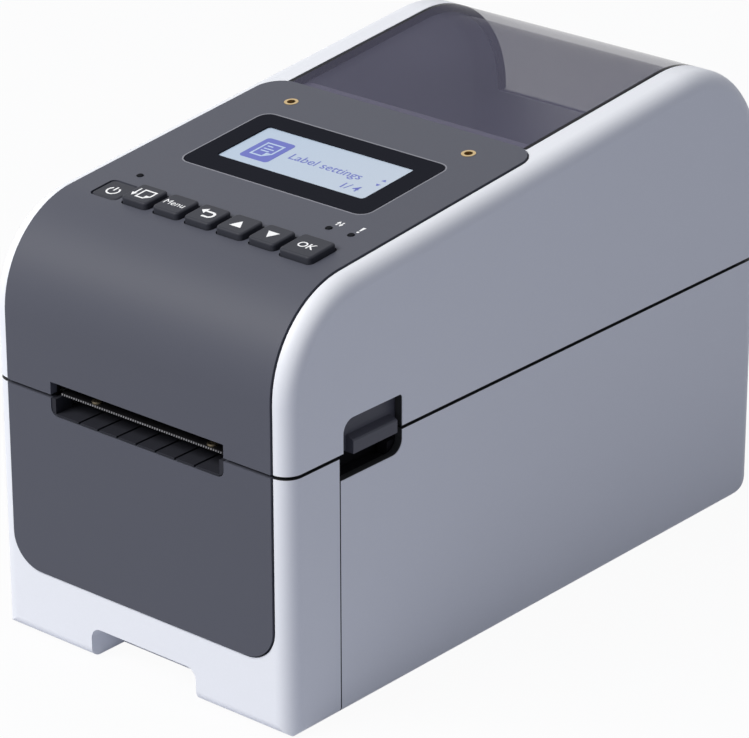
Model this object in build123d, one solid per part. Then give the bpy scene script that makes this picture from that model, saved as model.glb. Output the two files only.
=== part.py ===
from build123d import *
import os
from math import acos, cos, pi, radians, sin, sqrt, tan

# Desktop thermal label printer, in millimetres.
# +X is to the right, the front faces -Y, +Z is up, and the feet stand on Z = 0.

# Overall form
width = 110.0
depth = 213.0
wall = 2.5
edge_radius = 5.3
skirt_lift = 0.6
roof_height = 136.2
roof_slope = 5.8
brow_radius = 30.0
crown_radius = 35.0
toe_radius = 3.2
foot_round = 2.0
heel_radius = 12.0
seam_height = 77.85
seam_gap = 1.0
half_width = width / 2
front_face = -depth / 2
rear_face = depth / 2

# Clearances
panel_gap = 0.5
trim_gap = 0.2
seat_gap = 0.1
key_gap = 0.4
run_fit = 0.05
pin_fit = 0.02
gear_backlash = 0.24

# Front bezel and lower panel
bezel_seam_back = 21.3
bezel_seam = front_face + bezel_seam_back
bezel_gap = 0.4
panel_proud = 0.5
panel_thick = 2.5
panel_low = 21.75
panel_low_corner = 10.0
notch_half = 20.0
notch_top = 10.4
notch_corner = 3.5
notch_deep = 13.0
notch_wall = 2.0

# Label exit
slot_half_inset = 22.66
slot_half = half_width - slot_half_inset
slot_top_rise = 4.4
slot_top = seam_height + slot_top_rise
slot_low_drop = 5.65
slot_low = seam_height - slot_low_drop
slot_corner = 2.5
ledge_lip = 0.5
ledge_thick = 2.0
ledge_wall = 1.5
ledge_wall_deep = 6.3
groove_count = 7
groove_pitch = 7.2
groove_wide = 0.8

# Tear bar under the cover's front edge
tear_edge_set = 1.5
tear_low_rise = 0.45
tear_low = seam_height + tear_low_rise
tear_thick = 0.5
tear_deep = 4.4
beam_thick = 0.8
beam_set = 1.2
web_thick = 1.5
tear_head = 1.5
tear_head_thick = 0.6
tear_screw_set = 2.1
tear_screw_left = 36.9
tear_screw_right = 30.1
tear_screw_x = [tear_screw_left - half_width, half_width - tear_screw_right]
tooth_pitch = 0.9
tooth_deep = 0.5

# Upper control panel and roll window
panel_rear_back = 112.55
panel_rear = front_face + panel_rear_back
panel_corner = 8.0
window_half_inset = 10.8
window_half = half_width - window_half_inset
window_gap = 0.35
window_rear_low = 108.0

# Keys, on the sloping roof: x across, s along the slope, h above the panel
key_row_left = 14.6
key_row_right = 13.5
ok_width = 11.4
ok_depth = 11.0
key_space = 2.15
key_left = key_row_left - half_width
key_row_back = 30.3
key_row = front_face + key_row_back
key_rise = 2.0
key_corner = 1.4
key_round = 0.7
key_flange = 0.7
key_flange_thick = 1.0
key_travel = 1.0
plunger_radius = 2.0
key_names = ["power_key", "feed_key", "menu_key", "return_key", "up_key", "down_key", "ok_key"]
plain_keys = len(key_names) - 1
key_size = (width - key_row_left - key_row_right - ok_width) / plain_keys - key_space

# Display
bezel_half = 34.2
bezel_mid_back = 73.5
bezel_mid = front_face + bezel_mid_back
bezel_deep = 36.8
bezel_thick = 1.5
bezel_corner = 3.5
screen_half = 27.1
screen_mid_back = 74.1
screen_mid = front_face + screen_mid_back
screen_deep = 22.4
screen_sunk = 0.3
module_margin = 4.0
module_thick = 5.0

# Status lights and threaded inserts
ready_light_inset = 19.0
ready_light_back = 41.1
data_light_inset = 24.0
alert_light_inset = 16.1
right_lights_back = 44.4
light_places = [
    (ready_light_inset - half_width, front_face + ready_light_back),
    (half_width - data_light_inset, front_face + right_lights_back),
    (half_width - alert_light_inset, front_face + right_lights_back),
]
light_radius = 0.9
insert_x = 33.0
insert_s_back = 101.4
insert_s = front_face + insert_s_back
insert_radius = 2.1
insert_bore = 1.25
insert_long = 6.0
insert_boss = 3.8
insert_floor = 0.6

# Control board behind the panel
board_thick = 1.6
board_drop = 8.0
board_half_inset = 11.0
board_half = half_width - board_half_inset
board_front_back = 17.0
board_front = front_face + board_front_back
board_rear_back = 52.5
board_rear = front_face + board_rear_back
pad_thick = 1.1
pad_margin = 1.2
post_radius = 2.4
post_rear_x_inset = 14.0
post_rear_x = half_width - post_rear_x_inset
post_front_x_inset = 22.0
post_front_x = half_width - post_front_x_inset
post_rear_s_step = 3.5
post_rear_s = board_rear - post_rear_s_step
post_front_s_step = 2.5
post_front_s = board_front + post_front_s_step
post_places = [
    (-post_rear_x, post_rear_s), (post_rear_x, post_rear_s),
    (-post_front_x, post_front_s), (post_front_x, post_front_s),
]

# Screws
small_screw = 0.9
small_head = 2.0
small_head_thick = 1.4
small_bite = 3.2
case_screw = 1.5
case_head = 3.0
case_head_thick = 1.5
case_bite = 9.0
cross_reach = 1.1
cross_width = 0.28

# Cover hinge at the rear
hinge_inset = 2.2
barrel_radius = 2.2
hinge_pin = 1.1
hinge_round = 3.0
hinge_arm = 6.2
hinge_start_inset = 15.5
hinge_start = half_width - hinge_start_inset
base_knuckle = 4.5
cover_knuckle = 5.0
knuckle_gap = 0.3
hinge_sweep = 0.5

# Cover liner and head mount
liner_thick = 1.6
liner_low_rise = 4.15
liner_low = seam_height + liner_low_rise
liner_rear_back = 7.95
liner_rear = panel_rear + liner_rear_back
mount_low_rise = 11.15
mount_low = seam_height + mount_low_rise
mount_thick = 2.5
mount_rear_back = 72.5
mount_rear = front_face + mount_rear_back
cheek_thick = 2.5
cheek_low_rise = 1.75
cheek_low = seam_height + cheek_low_rise
cheek_margin = 1.4
cheek_gap = 2.0
ear_reach = 2.0
apron_low_rise = 2.65
apron_low = seam_height + apron_low_rise
apron_half_inset = 19.5
apron_half = half_width - apron_half_inset

# Print head
head_half_inset = 23.0
head_half = half_width - head_half_inset
head_clear = 0.3
strip_thick = 1.0
strip_deep = 12.0
strip_lead = 5.4
sink_thick = 3.6
sink_deep = 18.5
fin_count = 5
fin_groove = 1.2
lug_thick = 4.0
head_pin = 1.5
head_pivot_back = 34.5
head_pivot_rise = 4.4
head_pivot = (front_face + head_pivot_back, seam_height + head_pivot_rise)
lug_round = 3.2
spring_x = 20.0
spring_radius = 2.5
spring_wire = 0.35
spring_turns = 4
spring_room = 1.4
spring_boss = 1.8

# Cover release
lever_pivot_back = 58.5
lever_pivot_rise = 6.15
lever_pivot = (front_face + lever_pivot_back, seam_height + lever_pivot_rise)
lever_shaft = 2.0
lever_thick = 2.0
lever_front_back = 21.9
lever_front = front_face + lever_front_back
lever_top_rise = 10.15
lever_top = seam_height + lever_top_rise
lever_low_drop = 0.65
lever_low = seam_height - lever_low_drop
lever_rear = 4.0
lever_room_front = 5.4
lever_room_rear = 2.0
lever_room_top = 9.0
hook_low_drop = 11.55
hook_low = seam_height - hook_low_drop
hook_width = 3.5
nose_thick = 2.3
nose_reach = 2.8
keeper_radius = 1.5
keeper_gap = 0.4
keeper_bearing = 2.0
tab_front_back = 27.0
tab_front = front_face + tab_front_back
tab_rear_back = 45.2
tab_rear = front_face + tab_rear_back
tab_low_drop = 1.05
tab_low = seam_height - tab_low_drop
tab_top_rise = 2.95
tab_top = seam_height + tab_top_rise
tab_sunk = 0.2
tab_cove = 0.8
recess_front_back = 22.7
recess_front = front_face + recess_front_back
recess_rear_back = 47.0
recess_rear = front_face + recess_rear_back
recess_top_rise = 9.99
recess_top = seam_height + recess_top_rise
recess_low_drop = 7.21
recess_low = seam_height - recess_low_drop
recess_round = 4.0
recess_small = 1.2
torsion_turns = 5
torsion_wire = 0.4
torsion_pitch = 1.04

# Base plate and feet
plate_thick = 2.0
lip_half_inset = 8.0
lip_half = half_width - lip_half_inset
foot_radius = 6.0
foot_x_inset = 17.0
foot_x = half_width - foot_x_inset
foot_front_back = 30.5
foot_front = front_face + foot_front_back
foot_rear_ahead = 22.5
foot_rear = rear_face - foot_rear_ahead

# Roll well and inner frame
bay_start = 75.5
bay_end = 5.5
well_lift = 8.0
roll_height = 74.0
well_radius = (depth - bay_start - bay_end) / 2
roll_y = front_face + bay_start + well_radius
roll_z = max(roll_height, well_radius + well_lift)
well_half_inset = 20.0
well_half = half_width - well_half_inset
well_wall = 2.0
deck_top_drop = 2.35
deck_top = seam_height - deck_top_drop
deck_thick = 2.0
frame_gap = 0.6
rim_top_rise = 1.65
rim_top = seam_height + rim_top_rise
rim_thick = 1.8
frame_split_back = 48.3
frame_split = front_face + frame_split_back
post_x_inset = 11.0
post_x = half_width - post_x_inset
post_front_back = 54.5
post_front = front_face + post_front_back
post_rear_ahead = 46.5
post_rear = rear_face - post_rear_ahead
frame_post = 4.0
cup_deep = 5.9
cup_wall = 1.2

# Roll guides
guide_open_inset = 1.5
guide_open = well_half - guide_open_inset
guide_thick = 2.5
guide_travel = 22.0
guide_front_reach = 53.0
guide_front = roll_y - guide_front_reach
guide_rear_reach = 23.0
guide_rear = roll_y + guide_rear_reach
guide_high_rise = 22.0
guide_high = roll_z + guide_high_rise
hub_radius = 12.2
hub_long = 5.0
rack_teeth = 20
rack_tall = 3.2
rack_body = 2.6
leg_deep = 4.0
pinion_y_reach = 41.0
pinion_y = roll_y - pinion_y_reach
pinion_stud = 2.5

# Platen drive
platen_setback = 18.5
platen_drop = 8.0
platen_radius = 6.5
platen_half_inset = 22.5
platen_half = half_width - platen_half_inset
platen_room = 1.0
platen_shaft = 2.5
bush_radius = 4.0
bush_long = 3.6
side_plate_x_inset = 18.5
side_plate_x = half_width - side_plate_x_inset
side_plate_thick = 1.5
plate_foot = 9.0
gear_module = 0.8
gear_width = 3.0
gear_space = 0.5
gear_tip = 0.9
gear_root = 1.2
gear_pressure = 20.0
platen_teeth = 18
idler_small = 16
idler_large = 30
motor_teeth = 16
idler_lean = -56.6
motor_lean = -45.6
idler_stud = 2.0
stud_head = 3.2
motor_radius = 17.5
motor_long = 22.0
motor_shaft = 1.5
motor_boss = 5.0
motor_bolt = 15.0
sensor_half = 6.0
sensor_deep = 5.0
sensor_tall = 1.2
eye_half = 2.0
eye_rise = 0.4

# Main board and sockets on the rear wall
main_half_inset = 9.0
main_half = half_width - main_half_inset
main_front_ahead = 38.5
main_front = rear_face - main_front_ahead
main_rear_ahead = 4.0
main_rear = rear_face - main_rear_ahead
main_lift = 5.5
socket_inset = 1.3
socket_pitch_inset = 21.0
socket_pitch = main_half - socket_pitch_inset
lan_wide = 16.0
lan_tall = 13.5
lan_long = 21.0
lan_mouth_wide = 11.8
lan_mouth_tall = 7.0
lan_key_wide = 6.0
lan_key_tall = 2.6
lan_floor = 1.8
lan_reach = 13.0
usb_wide = 12.0
usb_tall = 11.0
usb_long = 16.0
usb_mouth_wide = 8.6
usb_mouth_tall = 8.0
usb_floor = 1.4
usb_reach = 9.0
tongue_wide = 5.6
tongue_thick = 1.8
tongue_drop = 1.0
power_wide = 9.4
power_tall = 11.0
power_long = 14.0
pin_sunk = 1.0
socket_gap = 0.4
power_bore = 2.75
power_pin = 1.0
power_reach = 9.5

# Places worked out from the sizes above
inner_half = half_width - wall
shell_front = -depth / 2 + panel_proud
shell_rear = depth / 2
slope = radians(roof_slope)
seam_low = seam_height - seam_gap / 2
seam_high = seam_height + seam_gap / 2
panel_half = half_width - edge_radius - panel_gap
panel_inner = panel_thick - panel_proud
inner_floor = skirt_lift + wall
plate_top = inner_floor + plate_thick
plate_front = shell_front + notch_deep + notch_wall + panel_gap
hinge_y = shell_rear - hinge_inset
liner_outer = wall + trim_gap
liner_inner = liner_outer + liner_thick
platen_y = shell_front + platen_setback
platen_z = seam_height - platen_drop
head_low = platen_z + platen_radius + head_clear
lever_outer = inner_half - frame_gap + trim_gap
board_low = board_drop + board_thick
roof = Plane(
    origin=(0, 0, roof_height + panel_proud / cos(slope)),
    x_dir=(1, 0, 0),
    z_dir=(0, -sin(slope), cos(slope)),
)


def block(x0, x1, y0, y1, z0, z1):
    """Box between two corners."""
    return Pos((x0 + x1) / 2, (y0 + y1) / 2, (z0 + z1) / 2) * Box(x1 - x0, y1 - y0, z1 - z0)


def rod_x(radius, x0, x1, y, z):
    """Round bar along X."""
    return Pos((x0 + x1) / 2, y, z) * Rot(0, 90, 0) * Cylinder(radius, x1 - x0)


def rod_y(radius, y0, y1, x, z):
    """Round bar along Y."""
    return Pos(x, (y0 + y1) / 2, z) * Rot(90, 0, 0) * Cylinder(radius, y1 - y0)


def rod_z(radius, x, y, z0, z1):
    """Round bar along Z."""
    return Pos(x, y, (z0 + z1) / 2) * Cylinder(radius, z1 - z0)


def outline(points, radii=None):
    """Closed face through points, with an optional fillet radius at each."""
    if radii:
        return make_face(FilletPolyline(*points, radius=radii, close=True))
    return make_face(Polyline(*points, close=True))


def bar_x(points, x0, x1, radii=None):
    """Outline in (y, z), drawn out along X."""
    return Pos(x0, 0, 0) * extrude(Plane.YZ * outline(points, radii), x1 - x0)


def bar_y(points, y0, y1, radii=None):
    """Outline in (x, z), drawn out along Y."""
    return Pos(0, y1, 0) * extrude(Plane.XZ * outline(points, radii), y1 - y0)


def bar_z(points, z0, z1, radii=None):
    """Outline in (x, y), drawn out along Z."""
    return Pos(0, 0, z0) * extrude(Plane.XY * outline(points, radii), z1 - z0)


def roof_plate(x, s, wide, deep, corner, h0, h1):
    """Rounded plate parallel to the roof, between two heights above the panel."""
    return roof.location * Pos(x, s, h0) * extrude(RectangleRounded(wide, deep, corner), h1 - h0)


def roof_rod(radius, x, s, h0, h1):
    """Round bar square to the roof."""
    return roof.location * rod_z(radius, x, s, h0, h1)


def both_sides(right):
    """A right-hand piece with its mirror image."""
    return right + mirror(right, about=Plane.YZ)


def side_outline(grow, low, toe):
    """Side view of the housing, moved outwards by grow."""
    rise = grow / cos(slope)
    front = shell_front - grow
    rear = shell_rear + grow
    front_top = roof_height + rise + tan(slope) * front
    rear_top = roof_height + rise + tan(slope) * rear
    corners = [(front, low), (front, front_top), (rear, rear_top), (rear, low)]
    radii = [toe, brow_radius + grow, crown_radius + grow, heel_radius + grow]
    return outline(corners, radii)


def slab(grow):
    """Housing form with square side edges, far wider than any panel cut from it."""
    form = side_outline(grow, skirt_lift - grow, max(toe_radius + grow, 0))
    return extrude(Plane.YZ * form, half_width + grow, both=True)


def envelope(grow):
    """Housing form with rounded side edges that run straight down to a smaller round at the foot."""
    sunk = side_outline(grow, skirt_lift - grow - 2 * edge_radius, edge_radius + wall + grow)
    form = extrude(Plane.YZ * sunk, half_width + grow, both=True)
    form = fillet(form.faces().filter_by(Axis.X).edges(), edge_radius + grow)
    half = half_width + grow
    low = skirt_lift - grow
    foot = max(foot_round + grow, 0)
    face = [(-half, low), (-half, 2 * roof_height), (half, 2 * roof_height), (half, low)]
    return form & slab(grow) & bar_y(face, -depth, depth, [foot, 0, 0, foot])


def housing():
    """Hollow housing before it is parted at the seams."""
    return envelope(0) - envelope(-wall)


def rear_round(z_edge, turn):
    """Cutter that rounds a rear seam edge; turn is 1 above the seam and -1 below."""
    z_mid = z_edge + turn * hinge_round
    y_mid = shell_rear - hinge_round
    low, high = sorted([z_edge - turn * wall, z_mid])
    corner = block(-width, width, y_mid, shell_rear + wall, low, high)
    return corner - rod_x(hinge_round, -width, width, y_mid, z_mid)


base_knuckle_x = (hinge_start, hinge_start + base_knuckle)
cover_knuckle_x = (base_knuckle_x[1] + knuckle_gap, base_knuckle_x[1] + knuckle_gap + cover_knuckle)


def knuckle(span, turn):
    """Hinge barrel with its arm; turn is 1 for an arm that rises and -1 for one that drops."""
    low, high = sorted([seam_height, seam_height + turn * hinge_arm])
    barrel = rod_x(barrel_radius, *span, hinge_y, seam_height)
    arm = block(*span, hinge_y - barrel_radius, hinge_y + barrel_radius, low, high)
    return both_sides(barrel + arm)


def hinge_bore(radius):
    """Bore for both hinge pins."""
    return both_sides(rod_x(radius, base_knuckle_x[0], cover_knuckle_x[1], hinge_y, seam_height))


def knuckle_room(span, turn):
    """Room that the other half's knuckle sweeps as the cover turns."""
    reach = barrel_radius + hinge_sweep
    far = seam_height - turn * (hinge_arm + hinge_sweep)
    low, high = sorted([far, seam_height + turn * reach])
    sides = (span[0] - knuckle_gap, span[1] + knuckle_gap)
    return both_sides(block(*sides, hinge_y - reach, shell_rear + wall, low, high))


def recess_cut(front, rear, low, high, radii):
    """Finger recess through both side walls."""
    points = [(front, low), (front, high), (rear, high), (rear, low)]
    return both_sides(bar_x(points, inner_half - edge_radius, half_width + wall, radii))


def socket_list():
    """Centre, width, height and length of each rear socket, with its node name."""
    return [
        ("network_socket", -socket_pitch, lan_wide, lan_tall, lan_long),
        ("data_socket", 0.0, usb_wide, usb_tall, usb_long),
        ("power_inlet", socket_pitch, power_wide, power_tall, power_long),
    ]


main_top = plate_top + main_lift + board_thick
socket_rear = shell_rear - socket_inset


def lower_case():
    """Side walls, rear wall and floor lip of the base."""
    start = bezel_seam + bezel_gap / 2
    case = housing() & block(-half_width, half_width, start, shell_rear, 0, seam_low)
    case -= block(-lip_half, lip_half, start - wall, shell_rear - heel_radius - wall, 0, inner_floor)
    case -= rear_round(seam_low, -1)
    case -= recess_cut(start - wall, recess_rear, recess_low, seam_high, [0, 0, 0, recess_round])
    for _, x, wide, tall, _ in socket_list():
        half = wide / 2 + socket_gap
        low = main_top - socket_gap
        case -= block(x - half, x + half, main_rear, shell_rear + wall, low, main_top + tall + socket_gap)
    case -= knuckle_room(cover_knuckle_x, -1)
    return case + knuckle(base_knuckle_x, -1) - hinge_bore(hinge_pin + pin_fit)


def front_bezel():
    """Pale U-shaped frame with the finger notch."""
    end = bezel_seam - bezel_gap / 2
    frame = housing() & block(-half_width, half_width, shell_front, end, 0, seam_low)
    half = panel_half + panel_gap
    low = panel_low - panel_gap
    corner = panel_low_corner + panel_gap
    opening = [(-half, low), (-half, seam_high), (half, seam_high), (half, low)]
    frame -= bar_y(opening, shell_front - wall, shell_front + wall, [corner, 0, 0, corner])
    hood_half = notch_half + notch_wall
    hood_rear = shell_front + notch_deep + notch_wall
    hood_top = notch_top + notch_wall
    frame += block(-hood_half, hood_half, shell_front, hood_rear, 0, hood_top) & slab(0)
    notch = [(-notch_half, -wall), (-notch_half, notch_top), (notch_half, notch_top), (notch_half, -wall)]
    radii = [0, notch_corner, notch_corner, 0]
    return frame - bar_y(notch, shell_front - wall, shell_front + notch_deep, radii)


def front_panel():
    """Dark lower panel, cut away for the label exit."""
    half, face = panel_half, shell_front - panel_proud
    points = [(-half, panel_low), (-half, seam_low), (half, seam_low), (half, panel_low)]
    panel = bar_y(points, face, face + panel_thick, [panel_low_corner, 0, 0, panel_low_corner])
    half = slot_half
    exit_cut = [(-half, slot_low), (-half, seam_high), (half, seam_high), (half, slot_low)]
    return panel - bar_y(exit_cut, face - wall, face + wall + panel_thick, [slot_corner, 0, 0, slot_corner])


guide_face = shell_front - panel_proud + trim_gap
guide_half = slot_half - trim_gap
panel_back = shell_front - panel_proud + panel_thick + trim_gap
ledge_top = slot_low + trim_gap + ledge_lip
ledge_rear = platen_y - platen_radius - platen_room
tear_edge = guide_face + tear_edge_set
tear_rear = tear_edge + tear_deep
tear_screw_y = tear_edge + tear_screw_set
bar_half = guide_half - ledge_wall - 2 * trim_gap


def exit_guide():
    """Grooved ledge below the exit, with an end wall at each side."""
    half = guide_half
    foot = slot_low + trim_gap
    wall_rear = guide_face + ledge_wall_deep
    shape = [(-half, foot), (-half, seam_low), (half, seam_low), (half, foot)]
    guide = bar_y(shape, guide_face, wall_rear, [slot_corner, 0, 0, slot_corner])
    guide -= block(ledge_wall - half, half - ledge_wall, guide_face, wall_rear, ledge_top, seam_low)
    guide += block(-half, half, panel_back, ledge_rear, ledge_top - ledge_thick, ledge_top)
    for i in range(groove_count):
        x = (i - (groove_count - 1) / 2) * groove_pitch
        guide -= block(x - groove_wide / 2, x + groove_wide / 2, guide_face, ledge_rear, foot, ledge_top)
    return guide


def tear_bar():
    """Steel strip with a serrated front edge, screwed to the beam under the cover's front."""
    count = int(2 * bar_half / tooth_pitch)
    start = -count * tooth_pitch / 2
    points = [(start, tear_rear)]
    for i in range(count):
        points.append((start + i * tooth_pitch, tear_edge + tooth_deep))
        points.append((start + (i + 0.5) * tooth_pitch, tear_edge))
    points.append((-start, tear_edge + tooth_deep))
    points.append((-start, tear_rear))
    bar = bar_z(points, tear_low, tear_low + tear_thick)
    for x in tear_screw_x:
        bar -= rod_z(small_screw + pin_fit, x, tear_screw_y, tear_low, tear_low + tear_thick)
    return bar


def panel_plan(margin, y_front):
    """Plan of the upper panel, with rounded rear corners."""
    half, rear = panel_half + margin, panel_rear + margin
    points = [(-half, y_front), (-half, rear), (half, rear), (half, y_front)]
    corner = panel_corner + margin
    return bar_z(points, seam_high, 2 * roof_height, [0, corner, corner, 0])


def key_list():
    """Name, centre across, width, depth and rise of each key, from left to right."""
    keys = []
    left = key_left
    for name in key_names:
        wide = ok_width if name == "ok_key" else key_size
        deep = ok_depth if name == "ok_key" else key_size
        rise = 0.0 if name == "power_key" else key_rise
        keys.append((name, left + wide / 2, wide, deep, rise))
        left += wide + key_space
    return keys


def control_panel():
    """Dark panel over the brow, with its key holes, display seat, posts and insert bosses."""
    face = shell_front - panel_proud
    panel = (slab(panel_proud) - slab(-panel_inner)) & panel_plan(0, face - wall)
    for x, s in post_places:
        panel += roof_rod(post_radius, x, s, -board_drop, -panel_inner)
        panel -= roof_rod(small_screw + pin_fit, x, s, -board_drop, -board_drop + small_bite)
    for x in (-insert_x, insert_x):
        panel += roof_rod(insert_boss, x, insert_s, -insert_long - insert_floor, -panel_inner)
        panel -= roof_rod(insert_radius + pin_fit, x, insert_s, -insert_long, wall)
    for _, x, wide, deep, _ in key_list():
        hole = (wide + 2 * key_gap, deep + 2 * key_gap, key_corner + key_gap)
        panel -= roof_plate(x, key_row, *hole, -2 * panel_thick, wall)
    for x, s in light_places:
        panel -= roof_rod(light_radius + trim_gap, x, s, -2 * panel_thick, wall)
    seat = (2 * (bezel_half + trim_gap), bezel_deep + 2 * trim_gap, bezel_corner + trim_gap)
    panel -= roof_plate(0, bezel_mid, *seat, -bezel_thick, wall)
    view = (2 * (screen_half + 2 * trim_gap), screen_deep + 4 * trim_gap, pad_margin)
    panel -= roof_plate(0, screen_mid, *view, -2 * panel_thick, wall)
    mouth = [(-slot_half, 0), (-slot_half, slot_top), (slot_half, slot_top), (slot_half, 0)]
    return panel - bar_y(mouth, face - wall, face + 2 * panel_thick)


def window_cut(margin):
    """Prism that cuts the roll window out of the roof and rear."""
    half = window_half + margin
    front = panel_rear + panel_gap - margin
    points = [(-half, front), (-half, 2 * depth), (half, 2 * depth), (half, front)]
    return bar_z(points, window_rear_low - margin, 2 * roof_height)


def roll_window():
    """Smoky window over the roll bay, following the rear curve."""
    return (slab(0) - slab(-wall)) & window_cut(0)


def cover_shell():
    """Pale upper shell with its latch recesses and hinge knuckles."""
    shell = housing() & block(-half_width, half_width, shell_front, shell_rear, seam_high, 2 * roof_height)
    shell -= panel_plan(panel_gap, shell_front - wall)
    shell -= window_cut(window_gap)
    radii = [0, recess_round, recess_small, 0]
    shell -= recess_cut(recess_front, recess_rear, seam_low, recess_top, radii)
    shell -= rear_round(seam_high, 1)
    shell -= knuckle_room(base_knuckle_x, 1)
    return shell + knuckle(cover_knuckle_x, 1) - hinge_bore(hinge_pin + run_fit)


liner_half = half_width - liner_outer
liner_side = half_width - liner_inner
liner_window_front = lever_front - lever_room_front
liner_window_rear = lever_pivot[0] + lever_rear + lever_room_rear
liner_window_top = lever_top + lever_room_top


def cover_liner():
    """Black inner skin that backs the cover's seams, open at the keys, exit and levers."""
    skin = envelope(-liner_outer) - envelope(-liner_inner)
    front = shell_front + liner_outer
    skin &= block(-half_width, half_width, shell_front, liner_rear, liner_low, 2 * roof_height)
    board = board_half + 2 * pad_margin
    window_rear = insert_s + insert_boss + pad_margin
    board_room = (board_front - 2 * pad_margin, window_rear, mount_low + board_low, 2 * roof_height)
    skin -= block(-board, board, *board_room)
    apron = apron_half + trim_gap
    skin -= block(-apron, apron, front - wall, front + wall, 0, mount_low + mount_thick)
    lever_room = (liner_window_front, liner_window_rear, 0, liner_window_top)
    return skin - both_sides(block(liner_side - wall, half_width, *lever_room))


apron_front = shell_front + liner_inner + trim_gap
web_rear = tear_rear + seat_gap + web_thick
mount_top = mount_low + mount_thick
mount_half = liner_side - trim_gap - ear_reach
ear_half = liner_side - trim_gap
front_cheek = head_half + cheek_gap
rear_cheek = post_x


def cheek(x0, pivot, pin, reach):
    """Pair of hanging ears that carry a cross pin."""
    y, z = pivot
    ear = block(x0, x0 + cheek_thick, y - reach, y + reach, cheek_low, mount_low)
    return both_sides(ear - rod_x(pin, x0, x0 + cheek_thick, y, z))


def head_mount():
    """Bridge across the cover that carries the print head, the release shaft and the tear bar."""
    front_end = (apron_front + edge_radius, liner_window_front - trim_gap)
    bridge = block(-mount_half, mount_half, apron_front, mount_rear, mount_low, mount_top)
    bridge += block(-ear_half, ear_half, *front_end, mount_low, mount_top)
    bridge += block(-ear_half, ear_half, liner_window_rear + trim_gap, mount_rear, mount_low, mount_top)
    bridge += block(-apron_half, apron_half, apron_front, web_rear, apron_low, mount_top)
    bridge += block(-bar_half, bar_half, tear_rear + seat_gap, web_rear, tear_low, apron_low)
    bridge += block(-bar_half, bar_half, tear_edge + beam_set, web_rear, tear_low - beam_thick, tear_low)
    bridge += cheek(front_cheek, head_pivot, head_pin + pin_fit, lug_round + cheek_margin)
    bridge += cheek(rear_cheek, lever_pivot, lever_shaft + run_fit, lug_round + cheek_margin)
    for x in (-spring_x, spring_x):
        boss_radius = spring_radius - 2 * spring_wire
        bridge += rod_z(boss_radius, x, strip_front + strip_lead, mount_low - spring_boss, mount_low)
    for x in tear_screw_x:
        bridge -= rod_z(small_screw + pin_fit, x, tear_screw_y, tear_low - beam_thick, tear_low)
    return bridge


strip_front = platen_y - strip_lead
sink_low = head_low + strip_thick
sink_top = sink_low + sink_thick


def print_strip():
    """Ceramic heater strip under the heat sink."""
    return block(-head_half, head_half, strip_front, strip_front + strip_deep, head_low, sink_low)


def heat_sink():
    """Aluminium block that carries the strip, with cooling grooves and pivot lugs."""
    y, z = head_pivot
    sink = block(-head_half, head_half, strip_front, strip_front + sink_deep, sink_low, sink_top)
    lug_x = (head_half - lug_thick, head_half)
    lug = block(*lug_x, strip_front + sink_deep - lug_thick, y, sink_low + strip_thick, z + lug_round / 2)
    lug += rod_x(lug_round, *lug_x, y, z)
    sink += both_sides(lug)
    groove_deep = sink_thick / 2
    first = strip_front + sink_deep / 2
    for i in range(fin_count):
        y0 = first + 2 * i * fin_groove
        groove_half = head_half - 2 * lug_thick
        sink -= block(-groove_half, groove_half, y0, y0 + fin_groove, sink_top - groove_deep, sink_top)
    return sink - rod_x(head_pin + run_fit, -head_half, head_half, y, z)


def coil(radius, wire, turns, pitch):
    """Wound spring along Z from the origin, as one swept tube."""
    path = Helix(pitch, pitch * turns, radius)
    section = Plane(origin=path @ 0, z_dir=path % 0) * Circle(wire)
    return sweep(section, path=path)


def head_springs():
    """Two pressure springs that hang from the mount over the head."""
    room = mount_low - sink_top - spring_room
    pitch = (room - 2 * spring_wire) / spring_turns
    spring = coil(spring_radius, spring_wire, spring_turns, pitch)
    y, z = strip_front + strip_lead, mount_low - room + spring_wire - seat_gap
    return Compound(children=[Pos(x, y, z) * spring for x in (-spring_x, spring_x)])


lever_inner = lever_outer - lever_thick


def release_lever():
    """Right-hand lever plate with its pull tab and hook."""
    y, z = lever_pivot
    rear = y + lever_rear
    hook_rear = y
    hook_front = y - hook_width
    points = [
        (rear, lever_top), (rear, z - lever_rear), (hook_rear, z - lever_rear),
        (hook_rear, hook_low + nose_thick), (hook_rear + nose_reach, hook_low + nose_thick),
        (hook_rear + nose_reach, hook_low), (hook_front, hook_low), (hook_front, lever_low),
        (lever_front, lever_low), (lever_front, lever_top),
    ]
    lever = bar_x(points, lever_inner, lever_outer)
    lip = half_width - tab_sunk
    tab = [
        (lever_inner, tab_low), (lip, tab_low), (lip, tab_top - tab_cove / 2), (lip - tab_cove / 2, tab_top),
        (lever_outer, tab_top + tab_cove), (lever_inner, tab_top + tab_cove),
    ]
    lever += bar_y(tab, tab_front, tab_rear)
    return lever - rod_x(lever_shaft + pin_fit, lever_inner, lever_outer, y, z)


def release_shaft():
    """Steel cross shaft that joins the two levers."""
    return rod_x(lever_shaft, -lever_outer, lever_outer, *lever_pivot)


def release_spring():
    """Return spring wound round the shaft beside the right cheek."""
    radius = lever_shaft + torsion_wire + trim_gap
    spring = coil(radius, torsion_wire, torsion_turns, torsion_pitch)
    start = rear_cheek - torsion_turns * torsion_pitch - torsion_wire - seat_gap
    return Pos(start, *lever_pivot) * Rot(0, 90, 0) * spring


deck_low = deck_top - deck_thick
frame_half = inner_half - frame_gap
well_outer = well_radius + well_wall
keeper_y = lever_pivot[0] + nose_reach + keeper_gap + keeper_radius
keeper_z = hook_low + nose_thick + keeper_gap + keeper_radius
keeper_lug = rear_cheek + cheek_thick + keeper_bearing


def leg_span(side):
    """Span along Y of a roll guide's leg; side is -1 on the left and 1 on the right."""
    near = pinion_y + side * (gear_radius(rack_teeth) + gear_module)
    far = near + side * leg_deep
    return tuple(sorted([near, far]))


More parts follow.
